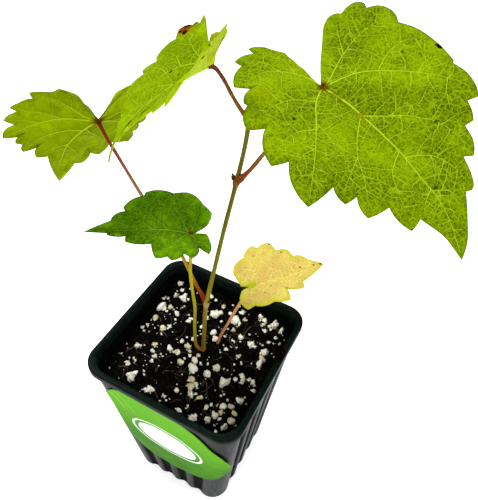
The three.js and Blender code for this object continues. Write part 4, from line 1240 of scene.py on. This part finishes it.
def cut_drains(pot):
    """Four round holes cut through the floor, one towards each corner."""
    around = np.linspace(0, 2 * math.pi, DRAIN_SIDES, endpoint=False)
    circle = DRAIN_RADIUS * np.stack([np.cos(around), np.sin(around)], -1)
    rods = []
    for corner in ((1, 1), (-1, 1), (-1, -1), (1, -1)):
        for z in (-2.0, FLOOR + 2.0):
            rods.append(np.column_stack([circle + DRAIN_OFFSET * np.array(corner), np.full(DRAIN_SIDES, z)]))
    parts = (grid_faces(2, DRAIN_SIDES, closed=True), rod_caps(2, DRAIN_SIDES))
    faces = [repeated(part, 4, 2 * DRAIN_SIDES) for part in parts]
    cutter = new_piece("drain_cutter", np.vstack(rods), faces, pot.data.materials[0])
    hole = pot.modifiers.new("drains", "BOOLEAN")
    hole.operation = "DIFFERENCE"
    hole.solver = "MANIFOLD"
    hole.object = cutter
    bpy.context.view_layer.update()
    seen = pot.evaluated_get(bpy.context.evaluated_depsgraph_get())
    cut = bpy.data.meshes.new_from_object(seen)
    pot.modifiers.clear()
    pot.data = cut
    cut.polygons.foreach_set("use_smooth", np.ones(len(cut.polygons), bool))
    bpy.data.objects.remove(cutter)


def pot_material():
    """Black moulded plastic: faint flow streaks down the wall, fine scuffs, painted shade in flutes and
    inside.
    """
    material, tree, shader = new_material("black_plastic")
    place = object_place(tree)
    streak = noise(tree, stretched(tree, place, (1.0, 1.0, 0.06)), 900.0, 4.0)
    cloud = noise(tree, place, 60.0, 4.0)
    grain = noise(tree, place, 2600.0, 2.0)
    scuff_lines = cells(tree, stretched(tree, place, (1.0, 0.12, 1.0), (0.2, 0.5, 0.3)), 420.0)
    scuff = times(tree, span(tree, scuff_lines, 0.0, 0.02, 1.0, 0.0), span(tree, cloud, 0.5, 0.7))
    colour = blend(tree, span(tree, cloud, 0.3, 0.7), rgb(8, 16, 13), rgb(15, 25, 21))
    colour = blend(tree, times(tree, span(tree, streak, 0.45, 0.7), 0.3), colour, rgb(38, 46, 42))
    colour = blend(tree, times(tree, scuff, 0.12), colour, rgb(96, 98, 94))
    # Painted shade: the inner wall and the bottoms of the flutes darkened to near black, and made rougher
    inside = times(tree, attribute(tree, "inside"), 0.95)
    groove_shade = maths(tree, "MAXIMUM", span(tree, attribute(tree, "groove_shade"), 0.15, 0.7), inside)
    colour = blend(tree, groove_shade, colour, rgb(2, 3, 2))
    rough = maths(tree, "ADD", span(tree, streak, 0.3, 0.7, 0.22, 0.34), times(tree, cloud, 0.08))
    rough = maths(tree, "ADD", rough, times(tree, groove_shade, 0.4))
    relief = maths(tree, "ADD", times(tree, grain, 0.35), times(tree, streak, 0.7))
    dress(tree, shader, colour, rough, relief, 0.3, 0.00008)
    shader.inputs["IOR"].default_value = 1.08
    return material


# Label
def on_wall(run, z, away):
    """Place on the labelled wall: flat along the face, then round the corner, off the wall by a gap."""
    half = wall_half(z)
    corner = corner_at(half)
    flat = half - corner
    angle = np.maximum(0, np.abs(run) - flat) / corner
    reach = np.minimum(np.abs(run), flat) + (corner + away) * np.sin(angle)
    return np.stack([np.sign(run) * reach, -flat - (corner + away) * np.cos(angle), z], -1)


def make_label(material):
    """The sticker: a thin closed sheet between its upper and lower outlines, one tip a little lifted."""
    columns, rows = LABEL_CELLS
    upper = catmull(LABEL_UPPER, columns + 1)
    lower = catmull(LABEL_LOWER, columns + 1)
    share = np.linspace(0, 1, rows + 1)[None, :, None]
    flat = (lower[:, None] + (upper - lower)[:, None] * share).reshape(-1, 2)
    run, z = flat[:, 0], flat[:, 1]
    lift = 0.9 * smooth((run - 22) / 6) + 0.25 * smooth((-run - 17) / 5)
    crease = 0.1 * np.exp(-((run + 12 + (z - 70) * 0.6) / 0.8) ** 2) * smooth((z - 58) / 8)
    ripple = 0.05 * lumps(run, z, 7, 12) + 0.03 * np.sin(run * 2 * math.pi * 0.1)
    away = LABEL_GAP + lift + crease + ripple
    front = on_wall(run, z, away + LABEL_THICKNESS)
    back = on_wall(run, z, away)
    amount = len(flat)
    quads = grid_faces(columns + 1, rows + 1)
    low = (rows + 1) * np.arange(columns + 1)
    low_side, high_side = (np.stack([line[:-1], line[1:], amount + line[1:], amount + line[:-1]], -1)
                           for line in (low, low + rows))
    faces = [quads, quads[:, ::-1] + amount, low_side[:, ::-1], high_side]
    label = new_piece("label_sheet", np.vstack([front, back]), faces, material, node="label",
                      flat=np.vstack([flat, flat]) / FLAT_UNIT)
    weld(label)


def weld(piece):
    """Joins points that lie together, such as a sheet's tips, and drops faces left without area."""
    work = bmesh.new()
    work.from_mesh(piece.data)
    bmesh.ops.remove_doubles(work, verts=work.verts, dist=1e-6)
    bmesh.ops.dissolve_degenerate(work, edges=work.edges, dist=1e-7)
    bmesh.ops.recalc_face_normals(work, faces=work.faces)
    work.to_mesh(piece.data)
    work.free()


def label_material():
    """Printed sticker: green fading darker downwards, with a plain pale oval panel and a thin ring."""
    material, tree, shader = new_material("green_sticker")
    flat = flat_place(tree)
    split = add(tree, "ShaderNodeSeparateXYZ", {"Vector": flat}).outputs
    down = span(tree, split["Y"], 0.3, 0.78)
    mottle = span(tree, noise(tree, flat, 12.0, 4.0), 0.4, 0.7)
    colour = blend(tree, down, rgb(52, 112, 0), rgb(98, 170, 24))
    colour = blend(tree, times(tree, mottle, 0.25), colour, rgb(98, 176, 14))
    run = maths(tree, "ADD", split["X"], times(tree, split["Y"], 0.5))
    run = maths(tree, "ADD", run, times(tree, noise(tree, flat, 9.0, 2.0), 0.05))
    lines = []
    for at, width in CREASES:
        off = maths(tree, "ABSOLUTE", maths(tree, "SUBTRACT", run, at))
        lines.append(span(tree, off, 0.0, width, 1.0, 0.0))
    creased = times(tree, maths(tree, "MAXIMUM", *lines), span(tree, split["Y"], 0.6, 0.66))
    colour = blend(tree, times(tree, creased, 0.5), colour, rgb(176, 224, 130))
    far = oval(tree, flat, PANEL_MIDDLE, PANEL_RADII)
    panel = span(tree, far, 0.8, 0.815, 1.0, 0.0)
    ring = times(tree, span(tree, far, 0.92, 0.93), span(tree, far, 0.985, 0.995, 1.0, 0.0))
    colour = blend(tree, maths(tree, "MAXIMUM", panel, ring), colour, rgb(236, 240, 234))
    rough = span(tree, noise(tree, flat, 90.0), 0.3, 0.7, 0.34, 0.5)
    dress(tree, shader, colour, rough, noise(tree, flat, 320.0, 2.0), 0.25, 0.00006)
    shader.inputs["IOR"].default_value = 1.05
    return material


# Soil
def soil_height(x, y):
    """A low mound with dimples, as the solid has it."""
    reach = np.maximum(np.abs(x), np.abs(y)) / RIM_HALF
    dimples = np.sin(0.42 * x + 1.3) * np.cos(0.36 * y - 0.4) + 0.6 * np.sin(0.61 * y + 0.25 * x)
    return SOIL_TOP + SOIL_MOUND * (0.5 - reach * reach) + SOIL_DIMPLE * dimples


def soil_crumb(x, y):
    """Crumbly relief: lumps of four sizes, the smaller ones sharpened upwards."""
    lump = 0.7 * lumps(x, y, 3.7, 21) + 0.55 * np.abs(lumps(x, y, 1.7, 22))
    return lump + 0.42 * np.abs(lumps(x, y, 0.9, 23)) + 0.2 * lumps(x, y, 0.45, 24)


def soil_surface(x, y):
    """Height of the finished soil: its mound with the crumbs, sunk a little."""
    return soil_height(x, y) + soil_crumb(x, y) - SOIL_SINK


def to_rounded_square(u, v, half, corner):
    """A square of points pulled in to a rounded square: each point moves along its ray from the centre by
    the ratio of the two outlines' distances."""
    size = np.maximum(np.maximum(np.abs(u), np.abs(v)), 1e-9)
    a = np.abs(u) / size
    b = np.abs(v) / size
    flat = half - corner
    dot = (a + b) * flat
    norm = a * a + b * b
    inside = np.maximum(dot * dot - norm * (2 * flat * flat - corner * corner), 0)
    round_reach = (dot + np.sqrt(inside)) / norm
    in_corner = np.minimum(a, b) * half > flat
    ratio = np.where(in_corner, np.minimum(round_reach / half, 1), 1)
    return u * half * ratio, v * half * ratio


def make_soil(material):
    """The soil: a fine rounded square of crumbly height, with a skirt and a closed foot."""
    line = np.linspace(-1, 1, SOIL_CELLS + 1)
    u, v = np.meshgrid(line, line, indexing="ij")
    half = wall_half(SOIL_TOP - 3) - WALL - FLUTE_DEPTH - CLEARANCE + SOIL_SPREAD
    x, y = to_rounded_square(u.ravel(), v.ravel(), half, corner_at(half))
    top = np.column_stack([x, y, soil_surface(x, y)])
    amount = len(top)
    across = len(line)
    index = np.arange(amount).reshape(across, across)
    border = np.concatenate([index[:-1, 0], index[-1, :-1], index[:0:-1, -1], index[0, :0:-1]])
    rings = []
    for z, share in SOIL_SKIRT:
        rings.append(np.column_stack([x[border] * share, y[border] * share, np.full(len(border), z)]))
    points = np.vstack([top] + rings + [[[0, 0, FLOOR + CLEARANCE]]])
    faces = [grid_faces(across, across)]
    upper = border
    lower = amount + np.arange(len(border))
    for _ in SOIL_SKIRT:
        faces.append(band(lower, upper))
        upper = lower
        lower = lower + len(border)
    faces.append(fan(lower[0], upper)[:, ::-1])
    new_piece("soil_fill", points, faces, material, node="soil")


def soil_material():
    """Dark damp peat: near black with brown fibres."""
    material, tree, shader = new_material("peaty_soil")
    place = object_place(tree)
    coarse = noise(tree, place, 420.0, 5.0, 0.65)
    fine = noise(tree, place, 1900.0, 3.0)
    fibre = span(tree, cells(tree, stretched(tree, place, (1.0, 0.25, 1.0), (0.0, 0.0, 0.7)), 900.0),
                 0.0, 0.05, 1.0, 0.0)
    colour = blend(tree, span(tree, coarse, 0.46, 0.72), rgb(1, 1, 1), rgb(13, 10, 6))
    colour = blend(tree, times(tree, fibre, span(tree, fine, 0.5, 0.7)), colour, rgb(60, 46, 24))
    relief = maths(tree, "ADD", coarse, times(tree, fine, 0.5))
    dress(tree, shader, colour, span(tree, fine, 0.3, 0.7, 0.75, 1.0), relief, 0.8, 0.0003)
    shader.inputs["Specular IOR Level"].default_value = 0.04
    return material


def unit_ball(rings, segments):
    """Points and faces of a closed ball of radius 1."""
    tilt = np.linspace(0, math.pi, rings + 2)[1:-1]
    turn = np.linspace(0, 2 * math.pi, segments, endpoint=False)
    body = np.stack([np.outer(np.sin(tilt), np.cos(turn)), np.outer(np.sin(tilt), np.sin(turn)),
                     np.outer(np.cos(tilt), np.ones(segments))], -1).reshape(-1, 3)
    points = np.vstack([body, [[0, 0, 1], [0, 0, -1]]])
    ring = np.arange(segments)
    top = fan(len(body), ring)
    low = fan(len(body) + 1, ring + (rings - 1) * segments)[:, ::-1]
    return points, grid_faces(rings, segments, closed=True)[:, ::-1], np.vstack([top, low])


def scatter(places, sizes, squash, seed, rings, segments, rough):
    """Copies of a lumpy ball at many places: each has its own size, turn, flattening and lumps."""
    random = np.random.default_rng(seed)
    ball, quads, triangles = unit_ball(rings, segments)
    count = len(places)
    phase = random.uniform(0, 50, (count, 1, 3))
    lump = lumps3(ball[None] * 1.7 + phase, 1.0, seed) + 0.5 * lumps3(ball[None] * 4 + phase, 1.0, seed + 5)
    body = ball[None] * (1 + rough * lump)[..., None]
    stretch = np.column_stack([
        np.ones(count), random.uniform(0.55, 1, count), random.uniform(*squash, count)])
    body = body * (np.asarray(sizes)[:, None] * stretch)[:, None]
    turn = random.uniform(0, 2 * math.pi, count)
    tilt = random.uniform(-0.5, 0.5, count)
    c, s = np.cos(tilt)[:, None], np.sin(tilt)[:, None]
    x, y, z = body[..., 0], body[..., 1], body[..., 2]
    x, z = x * c - z * s, x * s + z * c
    c, s = np.cos(turn)[:, None], np.sin(turn)[:, None]
    x, y = x * c - y * s, x * s + y * c
    points = np.stack([x, y, z], -1) + np.asarray(places)[:, None]
    return points.reshape(-1, 3), [repeated(part, count, len(ball)) for part in (quads, triangles)]


def strewn(random, half, count):
    """Random places on a square field: all x first, then all y."""
    return random.uniform(-half, half, count), random.uniform(-half, half, count)


def clear_of_stems(x, y, gap):
    """True where a place on the soil is clear of the stem and the separate stalk."""
    away = [np.hypot(x - place[0], y - place[1]) for place in (STEM_IN_SOIL, YELLOW_STALK_IN_SOIL)]
    return np.minimum(*away) > gap


def make_perlite(material):
    """White granules: the large ones at their places, the small ones strewn at random."""
    random = np.random.default_rng(7)
    large = np.array(GRANULES)
    x, y = strewn(random, GRANULE_FIELD, SMALL_GRANULES)
    size = SMALLEST_GRANULE + GRANULE_SPREAD * random.uniform(0, 1, SMALL_GRANULES) ** 2.6
    into_corner = np.hypot(*(np.maximum(np.abs(v) - FIELD_CORNER, 0) for v in (x, y)))
    keep = clear_of_stems(x, y, GRANULE_GAP) & (into_corner < FIELD_CORNER_REACH)
    x = np.concatenate([large[:, 0], x[keep]])
    y = np.concatenate([large[:, 1], y[keep]])
    size = np.concatenate([large[:, 2] * 0.92, size[keep]])
    places = np.column_stack([x, y, soil_surface(x, y) + 0.28 * size])
    points, faces = scatter(places, size, (0.5, 0.85), 31, rings=9, segments=13, rough=0.62)
    tint = np.repeat(random.uniform(0, 1, len(x)), len(points) // len(x))
    new_piece("perlite", points, faces, material, attributes={"tint": tint})


def perlite_material():
    """Chalky white expanded glass, each granule with its own cream, grey or earthy tint."""
    material, tree, shader = new_material("perlite_white")
    place = object_place(tree)
    tint = attribute(tree, "tint")
    pits = noise(tree, place, 1500.0, 4.0, 0.7)
    dirt = noise(tree, place, 500.0, 4.0, 0.7)
    colour = blend(tree, span(tree, tint, 0.72, 0.98), rgb(236, 233, 216), rgb(206, 196, 150))
    colour = blend(tree, span(tree, tint, 0.0, 0.05, 0.7, 0.0), colour, rgb(176, 158, 96))
    colour = blend(tree, span(tree, dirt, 0.5, 0.72, 0.0, 0.75), colour, rgb(92, 80, 60))
    dress(tree, shader, colour, span(tree, pits, 0.3, 0.7, 0.75, 0.95), pits, 0.9, 0.0002)
    return material


def make_crumbs(material):
    """Dark crumbs of peat over the soil, with a few spilled on the rim at the right."""
    random = np.random.default_rng(17)
    x, y = strewn(random, CRUMB_FIELD, PEAT_CRUMBS)
    size = 0.25 + 0.75 * random.uniform(0, 1, PEAT_CRUMBS) ** 3
    keep = clear_of_stems(x, y, CRUMB_GAP)
    places = np.column_stack([x, y, soil_surface(x, y) + 0.1 * size])[keep]
    sizes = size[keep]
    along = random.uniform(4.5, 10.5, SPILLED_CRUMBS)
    spill = np.column_stack([RIM_HALF - 1.0 + random.uniform(-1.2, 0.5, SPILLED_CRUMBS), along,
                             POT_HEIGHT + random.uniform(0.1, 0.6, SPILLED_CRUMBS)])
    places = np.vstack([places, spill])
    sizes = np.concatenate([sizes, random.uniform(0.3, 0.75, SPILLED_CRUMBS)])
    points, faces = scatter(places, sizes, (0.5, 0.9), 41, rings=4, segments=7, rough=0.35)
    new_piece("peat_crumbs", points, faces, material)


def make_fibres(material):
    """Bark chips and fibres: slim bent rods lying on the soil, each a five-sided tube along a parabola."""
    random = np.random.default_rng(23)
    steps, sides = FIBRE_RINGS, FIBRE_SIDES
    x, y = strewn(random, FIBRE_FIELD, BARK_FIBRES)
    keep = clear_of_stems(x, y, FIBRE_GAP)
    x, y = x[keep], y[keep]
    count = len(x)
    length = random.uniform(1.6, 6, count)
    wide = random.uniform(0.07, 0.26, count)
    turn = random.uniform(0, 2 * math.pi, count)
    bow = random.uniform(-0.25, 0.25, count) * length
    t = np.linspace(-0.5, 0.5, steps)
    along = length[:, None] * t
    aside = bow[:, None] * (0.25 - t * t) * 4
    px = x[:, None] + along * np.cos(turn)[:, None] - aside * np.sin(turn)[:, None]
    py = y[:, None] + along * np.sin(turn)[:, None] + aside * np.cos(turn)[:, None]
    px = np.clip(px, -FIBRE_LIMIT, FIBRE_LIMIT)
    py = np.clip(py, -FIBRE_LIMIT, FIBRE_LIMIT)
    route = np.stack([px, py, soil_surface(px, py) + FIBRE_LIFT], -1)
    taper = (1 - (2 * t) ** 4 * 0.8)[None, :, None]
    angle = np.linspace(0, 2 * math.pi, sides, endpoint=False)
    across = np.stack([-np.sin(turn), np.cos(turn), np.zeros(count)], -1)
    ring = across[:, None, None] * np.cos(angle)[:, None] + np.array([0, 0, 0.6]) * np.sin(angle)[:, None]
    points = route[:, :, None] + ring * (wide[:, None, None] * taper)[..., None]
    parts = (grid_faces(steps, sides, closed=True), rod_caps(steps, sides))
    faces = [repeated(part, count, steps * sides) for part in parts]
    tint = np.repeat(random.uniform(0, 1, count), steps * sides)
    new_piece("bark_fibres", points.reshape(-1, 3), faces, material, attributes={"tint": tint})


def fibre_material():
    """Brown bark and straw-coloured fibre."""
    material, tree, shader = new_material("bark_fibre")
    grain = noise(tree, object_place(tree), 1600.0, 3.0)
    colour = blend(tree, span(tree, attribute(tree, "tint"), 0.5, 0.95), rgb(22, 14, 8), rgb(66, 46, 22))
    colour = blend(tree, span(tree, grain, 0.4, 0.7, 0.0, 0.6), colour, rgb(28, 20, 12))
    dress(tree, shader, colour, span(tree, grain, 0.3, 0.7, 0.7, 0.95), grain, 0.7, 0.00015)
    return material


# Stem and stalks
def tube(route, radius, sides, grooves=0.0):
    """A closed round tube along a route: rings square to it, turned as little as possible, with the radius
    given at each ring, closed by pointed ends. Given as points, faces and each point's share of the run."""
    count = len(radius)
    path = catmull(route, count)
    ahead = np.gradient(path, axis=0)
    ahead /= np.linalg.norm(ahead, axis=1, keepdims=True)
    side = np.array([1.0, 0.0, 0.0]) if abs(ahead[0][0]) < 0.8 else np.array([0.0, 1.0, 0.0])
    first = np.cross(ahead, side)
    first /= np.linalg.norm(first, axis=1, keepdims=True)
    second = np.cross(ahead, first)
    angle = np.linspace(0, 2 * math.pi, sides, endpoint=False)
    wavy = 1 + grooves * np.cos(5 * angle)
    ring = first[:, None] * (np.cos(angle) * wavy)[:, None]
    ring = ring + second[:, None] * (np.sin(angle) * wavy)[:, None]
    points = path[:, None] + ring * radius[:, None, None]
    run = np.linspace(0, 1, count)
    ends = np.stack([path[0] - ahead[0] * radius[0] * 0.5, path[-1] + ahead[-1] * radius[-1] * 0.5])
    around = np.arange(sides)
    total = count * sides
    faces = [grid_faces(count, sides, closed=True), fan(total, around)[:, ::-1],
             fan(total + 1, around + total - sides)]
    values = np.concatenate([np.repeat(run, sides), [0, 1]])
    return np.vstack([points.reshape(-1, 3), ends]), faces, values


def swell(run, place, width, amount):
    """A bump along a run: amount times a bell of a width."""
    return amount * np.exp(-((run - place) / width) ** 2)


def route_share(route, point):
    """Share of a route's length at which it passes a point."""
    fine = catmull(route, 400)
    return float(np.argmin(np.linalg.norm(fine - np.array(point), axis=1))) / 399


def bud_parts(place, direction, length, width, scales):
    """A pointed bud: a core and overlapping scales, each a tapering rod from the base to the tip."""
    points, faces, runs = [], [], []
    start = 0
    ahead = np.array(direction, float)
    ahead /= np.linalg.norm(ahead)
    side = np.cross(ahead, [0, 0, 1.0])
    side /= np.linalg.norm(side)
    other = np.cross(ahead, side)
    base = np.array(place, float)
    for k in range(scales + 1):
        angle = 2 * math.pi * k / scales
        lean = 0 if k == scales else 0.28 * width
        out = side * math.cos(angle) + other * math.sin(angle)
        reach = length * (1 if k == scales else 0.78 + 0.06 * k)
        route = [base + out * lean * 0.4, base + out * lean * 1.5 + ahead * reach * 0.4,
                 base + out * lean * 0.5 + ahead * reach]
        run = np.linspace(0, 1, BUD_RINGS)
        swollen = (0.35 + 0.75 * np.sin(math.pi * run * 0.8)) * (1 - run ** 3)
        radius = width * (0.62 if k == scales else 0.42) * swollen + 0.03
        part, part_faces, along = tube(route, radius, BUD_SIDES)
        points.append(part)
        runs.append(along)
        faces.extend([f + start for f in part_faces])
        start += len(part)
    return np.vstack(points), faces, np.concatenate(runs)


STALKS = {
    "large": {
        "route": [[9.9, 4.5, 155.2], [10.85, 4.4, 156.4], [13.2, 4.9, 160], [16.4, 5.8, 166],
                  [20.9, 7.4, 174], [24, 8.4, 179.4], [26.1, 9.1, 183.1]],
        "radius": [0.6, 0.5], "base": 0.75, "top": 0.3, "slot": "red_stalk",
        "colours": [[0, 112, 46, 20], [0.12, 128, 52, 26], [0.3, 128, 84, 34],
                    [0.65, 122, 76, 34], [1, 110, 44, 22]],
    },
    "folded": {
        "route": [[11.3, 5.5, 173.3], [9.94, 5.34, 174.26], [8.4, 5.2, 176], [7, 5, 178],
                  [5.05, 4.75, 181.15], [4.1, 4.45, 182.6], [3.35, 4, 183.8], [2.8, 3.2, 184.6],
                  [2.5, 2.2, 185]],
        "radius": [0.5, 0.48], "base": 0.5, "top": 0.25, "slot": "red_stalk",
        "colours": [[0, 116, 70, 26], [0.3, 126, 90, 38], [0.7, 128, 58, 34],
                    [1, 92, 36, 16]],
    },
    "left": {
        "route": [[2, 1, 103.9], [1.2, 1.3, 104.8], [0, 1.75, 105.9], [-1.7, 2.05, 107.9], [-5, 2.5, 114],
                  [-7.5, 2.3, 120], [-14.3, 1.8, 130.4], [-19.9, 1.3, 140], [-25.1, 0.5, 150.5],
                  [-28.2, -0.4, 158], [-29.6, -0.8, 162]],
        "radius": [0.6, 0.48], "base": 0.5, "top": 0.3, "slot": "red_stalk",
        "colours": [[0, 130, 34, 16], [0.07, 150, 56, 22], [0.16, 176, 136, 26],
                    [0.3, 168, 130, 28], [0.42, 160, 98, 42], [0.64, 160, 114, 72],
                    [0.75, 150, 94, 68], [0.84, 140, 70, 52], [0.93, 122, 44, 30],
                    [1, 94, 24, 10]],
    },
    "dark": {
        "route": [[0.9, -0.2, 76.6], [0.33, -0.7, 77.4], [-0.3, -1.15, 78.6], [-0.8, -1.45, 81],
                  [-1, -1.5, 85], [-1.3, -0.9, 93], [-1.2, -0.6, 100.4], [-1.9, -0.7, 109],
                  [-2.3, -0.9, 117], [-1.9, -1.1, 126], [-1.4, -1.6, 135.2]],
        "radius": [0.6, 0.5], "base": 0.3, "top": 0.2, "slot": "yellow_stalk",
        "colours": [[0, 130, 64, 24], [0.08, 160, 112, 30], [0.2, 156, 146, 24],
                    [0.6, 172, 160, 24], [1, 160, 160, 30]],
    },
    "yellow": {
        "route": [[4, 6, SOIL_FOOT], YELLOW_STALK_IN_SOIL, [6.8, 7.9, 86.3], [9.1, 11.6, 95],
                  [11.6, 14.9, 102.6]],
        "radius": [0.58, 0.5], "base": 0.1, "top": 0.2, "slot": "red_stalk",
        "colours": [[0, 150, 96, 50], [0.35, 204, 136, 96], [0.7, 214, 152, 104],
                    [1, 208, 176, 84]],
    },
}


def stalk_material(name, colours):
    """Living stalk with fine lengthwise fibres and freckles. Its colours are rows of share of the length,
    red, green and blue, from share 0 to share 1."""
    material, tree, shader = new_material(name)
    place = object_place(tree)
    ramp = add(tree, "ShaderNodeValToRGB", {"Fac": attribute(tree, "along")})
    stops = ramp.color_ramp.elements
    for end in (0, -1):
        stops[end].color = rgb(*colours[end][1:])
    for position, *colour in colours[1:-1]:
        stops.new(position).color = rgb(*colour)
    fibre = noise(tree, stretched(tree, place, (1.0, 1.0, 0.12)), 2600.0, 3.0)
    freckle = noise(tree, place, 1500.0, 2.0)
    colour = blend(tree, span(tree, fibre, 0.4, 0.75, 0.0, 0.45), ramp.outputs["Color"], rgb(86, 62, 22))
    colour = blend(tree, span(tree, freckle, 0.62, 0.76, 0.0, 0.4), colour, rgb(214, 190, 120))
    dress(tree, shader, colour, span(tree, fibre, 0.3, 0.7, 0.42, 0.58), fibre, 0.5, 0.0001)
    shader.inputs["IOR"].default_value = 1.1
    return material


def make_stalks():
    """The five leaf stalks: slim tubes swollen where they leave the stem and where they meet the blade."""
    for name, stalk in STALKS.items():
        route = stalk["route"]
        reach = length_of(route)
        run = np.linspace(0, 1, max(40, int(reach / STALK_STEP)))
        foot, top = stalk["radius"]
        slim = foot + (top - foot) * run
        radius = slim * (1 + 0.04 * np.sin(run * 31) + swell(run, 0, 2.2 / reach, stalk["base"])
                         + swell(run, 1, 1.6 / reach, stalk["top"]) - 0.06 * np.sin(math.pi * run))
        points, faces, along = tube(route, radius, STALK_SIDES, grooves=0.03)
        material = stalk_material("stalk_" + name, stalk["colours"])
        new_piece("petiole_skin_" + name, points, faces, material, node="petiole_" + name,
                  attributes={"along": along})


def make_stem():
    """The main stem: a ridged tube that narrows upwards, swollen at its nodes, with scaled buds, and the dry
    collar at the foot of the separate stalk."""
    run = np.linspace(0, 1, STEM_RINGS)
    reach = length_of(STEM_ROUTE)
    low, middle = (route_share(STEM_ROUTE, node) for node in (NODE_LOW, NODE_MIDDLE))
    foot = route_share(STEM_ROUTE, STEM_IN_SOIL)
    slim = STEM_FOOT_RADIUS + (STEM_TOP_RADIUS - STEM_FOOT_RADIUS) * run
    radius = slim * (1 + 0.03 * np.sin(run * 47)
                     + swell(run, foot, 2.4 / reach, 0.25) + swell(run, low, 1.5 / reach, 0.38)
                     + swell(run, middle, 1.5 / reach, 0.7) + swell(run, 1, 2 / reach, 0.5))
    points, faces, along = tube(STEM_ROUTE, radius, STEM_SIDES, grooves=0.035)
    material = stalk_material("stem_skin", [
        [0, 104, 84, 30], [0.12, 120, 104, 34], [0.22, 126, 112, 34],
        [low - 0.02, 142, 118, 48], [low, 176, 156, 92], [low + 0.02, 132, 124, 34],
        [0.5, 112, 112, 14], [0.7, 98, 98, 10], [middle - 0.03, 92, 86, 12],
        [middle, 104, 70, 18], [middle + 0.04, 92, 90, 10], [1, 104, 102, 12]])
    new_piece("stem_skin", points, faces, material, node="stem", attributes={"along": along})
    bud_skin = stalk_material("bud_skin", [[0, 64, 38, 12], [0.5, 44, 28, 10], [1, 84, 60, 20]])
    for k, bud in enumerate(BUDS):
        points, faces, along = bud_parts(*bud)
        new_piece(f"bud_{k}", points, faces, bud_skin, attributes={"along": along})
    collar = stalk_material("dry_collar", [[0, 120, 66, 24], [0.5, 176, 112, 54], [1, 150, 92, 40]])
    points, faces, along = bud_parts(*DRY_COLLAR)
    new_piece("dry_collar", points, faces, collar, attributes={"along": along})


# Stage, lights and camera
def make_stage():
    """A wide pale floor and soft light from all round."""
    half = FLOOR_HALF * MM
    mesh = bpy.data.meshes.new("floor")
    corners = [[-half, -half, 0], [half, -half, 0], [half, half, 0], [-half, half, 0]]
    mesh.from_pydata(corners, [], [[0, 1, 2, 3]])
    material, _, shader = new_material("pale_floor")
    shader.inputs["Base Color"].default_value = (FLOOR_TONE, FLOOR_TONE, FLOOR_TONE, 1)
    shader.inputs["Roughness"].default_value = 0.9
    shader.inputs["Emission Color"].default_value = (1, 1, 1, 1)
    shader.inputs["Emission Strength"].default_value = FLOOR_GLOW
    mesh.materials.append(material)
    floor = bpy.data.objects.new("floor", mesh)
    floor.location.z = -FLOOR_DROP * MM
    bpy.context.scene.collection.objects.link(floor)
    world = bpy.data.worlds.new("soft_white")
    world.use_nodes = True
    sky = world.node_tree.nodes["Background"].inputs
    sky["Color"].default_value = (1, 1, 1, 1)
    sky["Strength"].default_value = SKY_STRENGTH
    bpy.context.scene.world = world
    for name, place, size, power in LAMPS:
        lamp = bpy.data.lights.new(name, "AREA")
        lamp.shape = "DISK"
        lamp.size = size
        lamp.energy = power
        light = bpy.data.objects.new(name, lamp)
        light.location = place
        light.rotation_euler = (Vector(LAMP_TARGET) - Vector(place)).to_track_quat("-Z", "Y").to_euler()
        bpy.context.scene.collection.objects.link(light)
    bpy.context.scene.view_settings.view_transform = "Standard"


def make_camera():
    """The photograph's camera."""
    camera = bpy.data.cameras.new("camera")
    camera.sensor_width = CAMERA_FILM
    camera.lens = CAMERA_LENS
    camera.clip_start = 0.01
    holder = bpy.data.objects.new("camera", camera)
    axes = [Vector(v).normalized() for v in (CAMERA_RIGHT, CAMERA_UP, CAMERA_BACK)]
    turn = Matrix([[axes[c][r] for c in range(3)] for r in range(3)]).to_4x4()
    holder.matrix_world = Matrix.Translation(Vector(CAMERA_PLACE) * MM) @ turn
    bpy.context.scene.collection.objects.link(holder)
    bpy.context.scene.camera = holder


make_camera()
make_stage()
make_pot(pot_material())
make_label(label_material())
make_soil(soil_material())
make_perlite(perlite_material())
make_crumbs(soil_material())
make_fibres(fibre_material())
make_stem()
make_stalks()
make_blades()
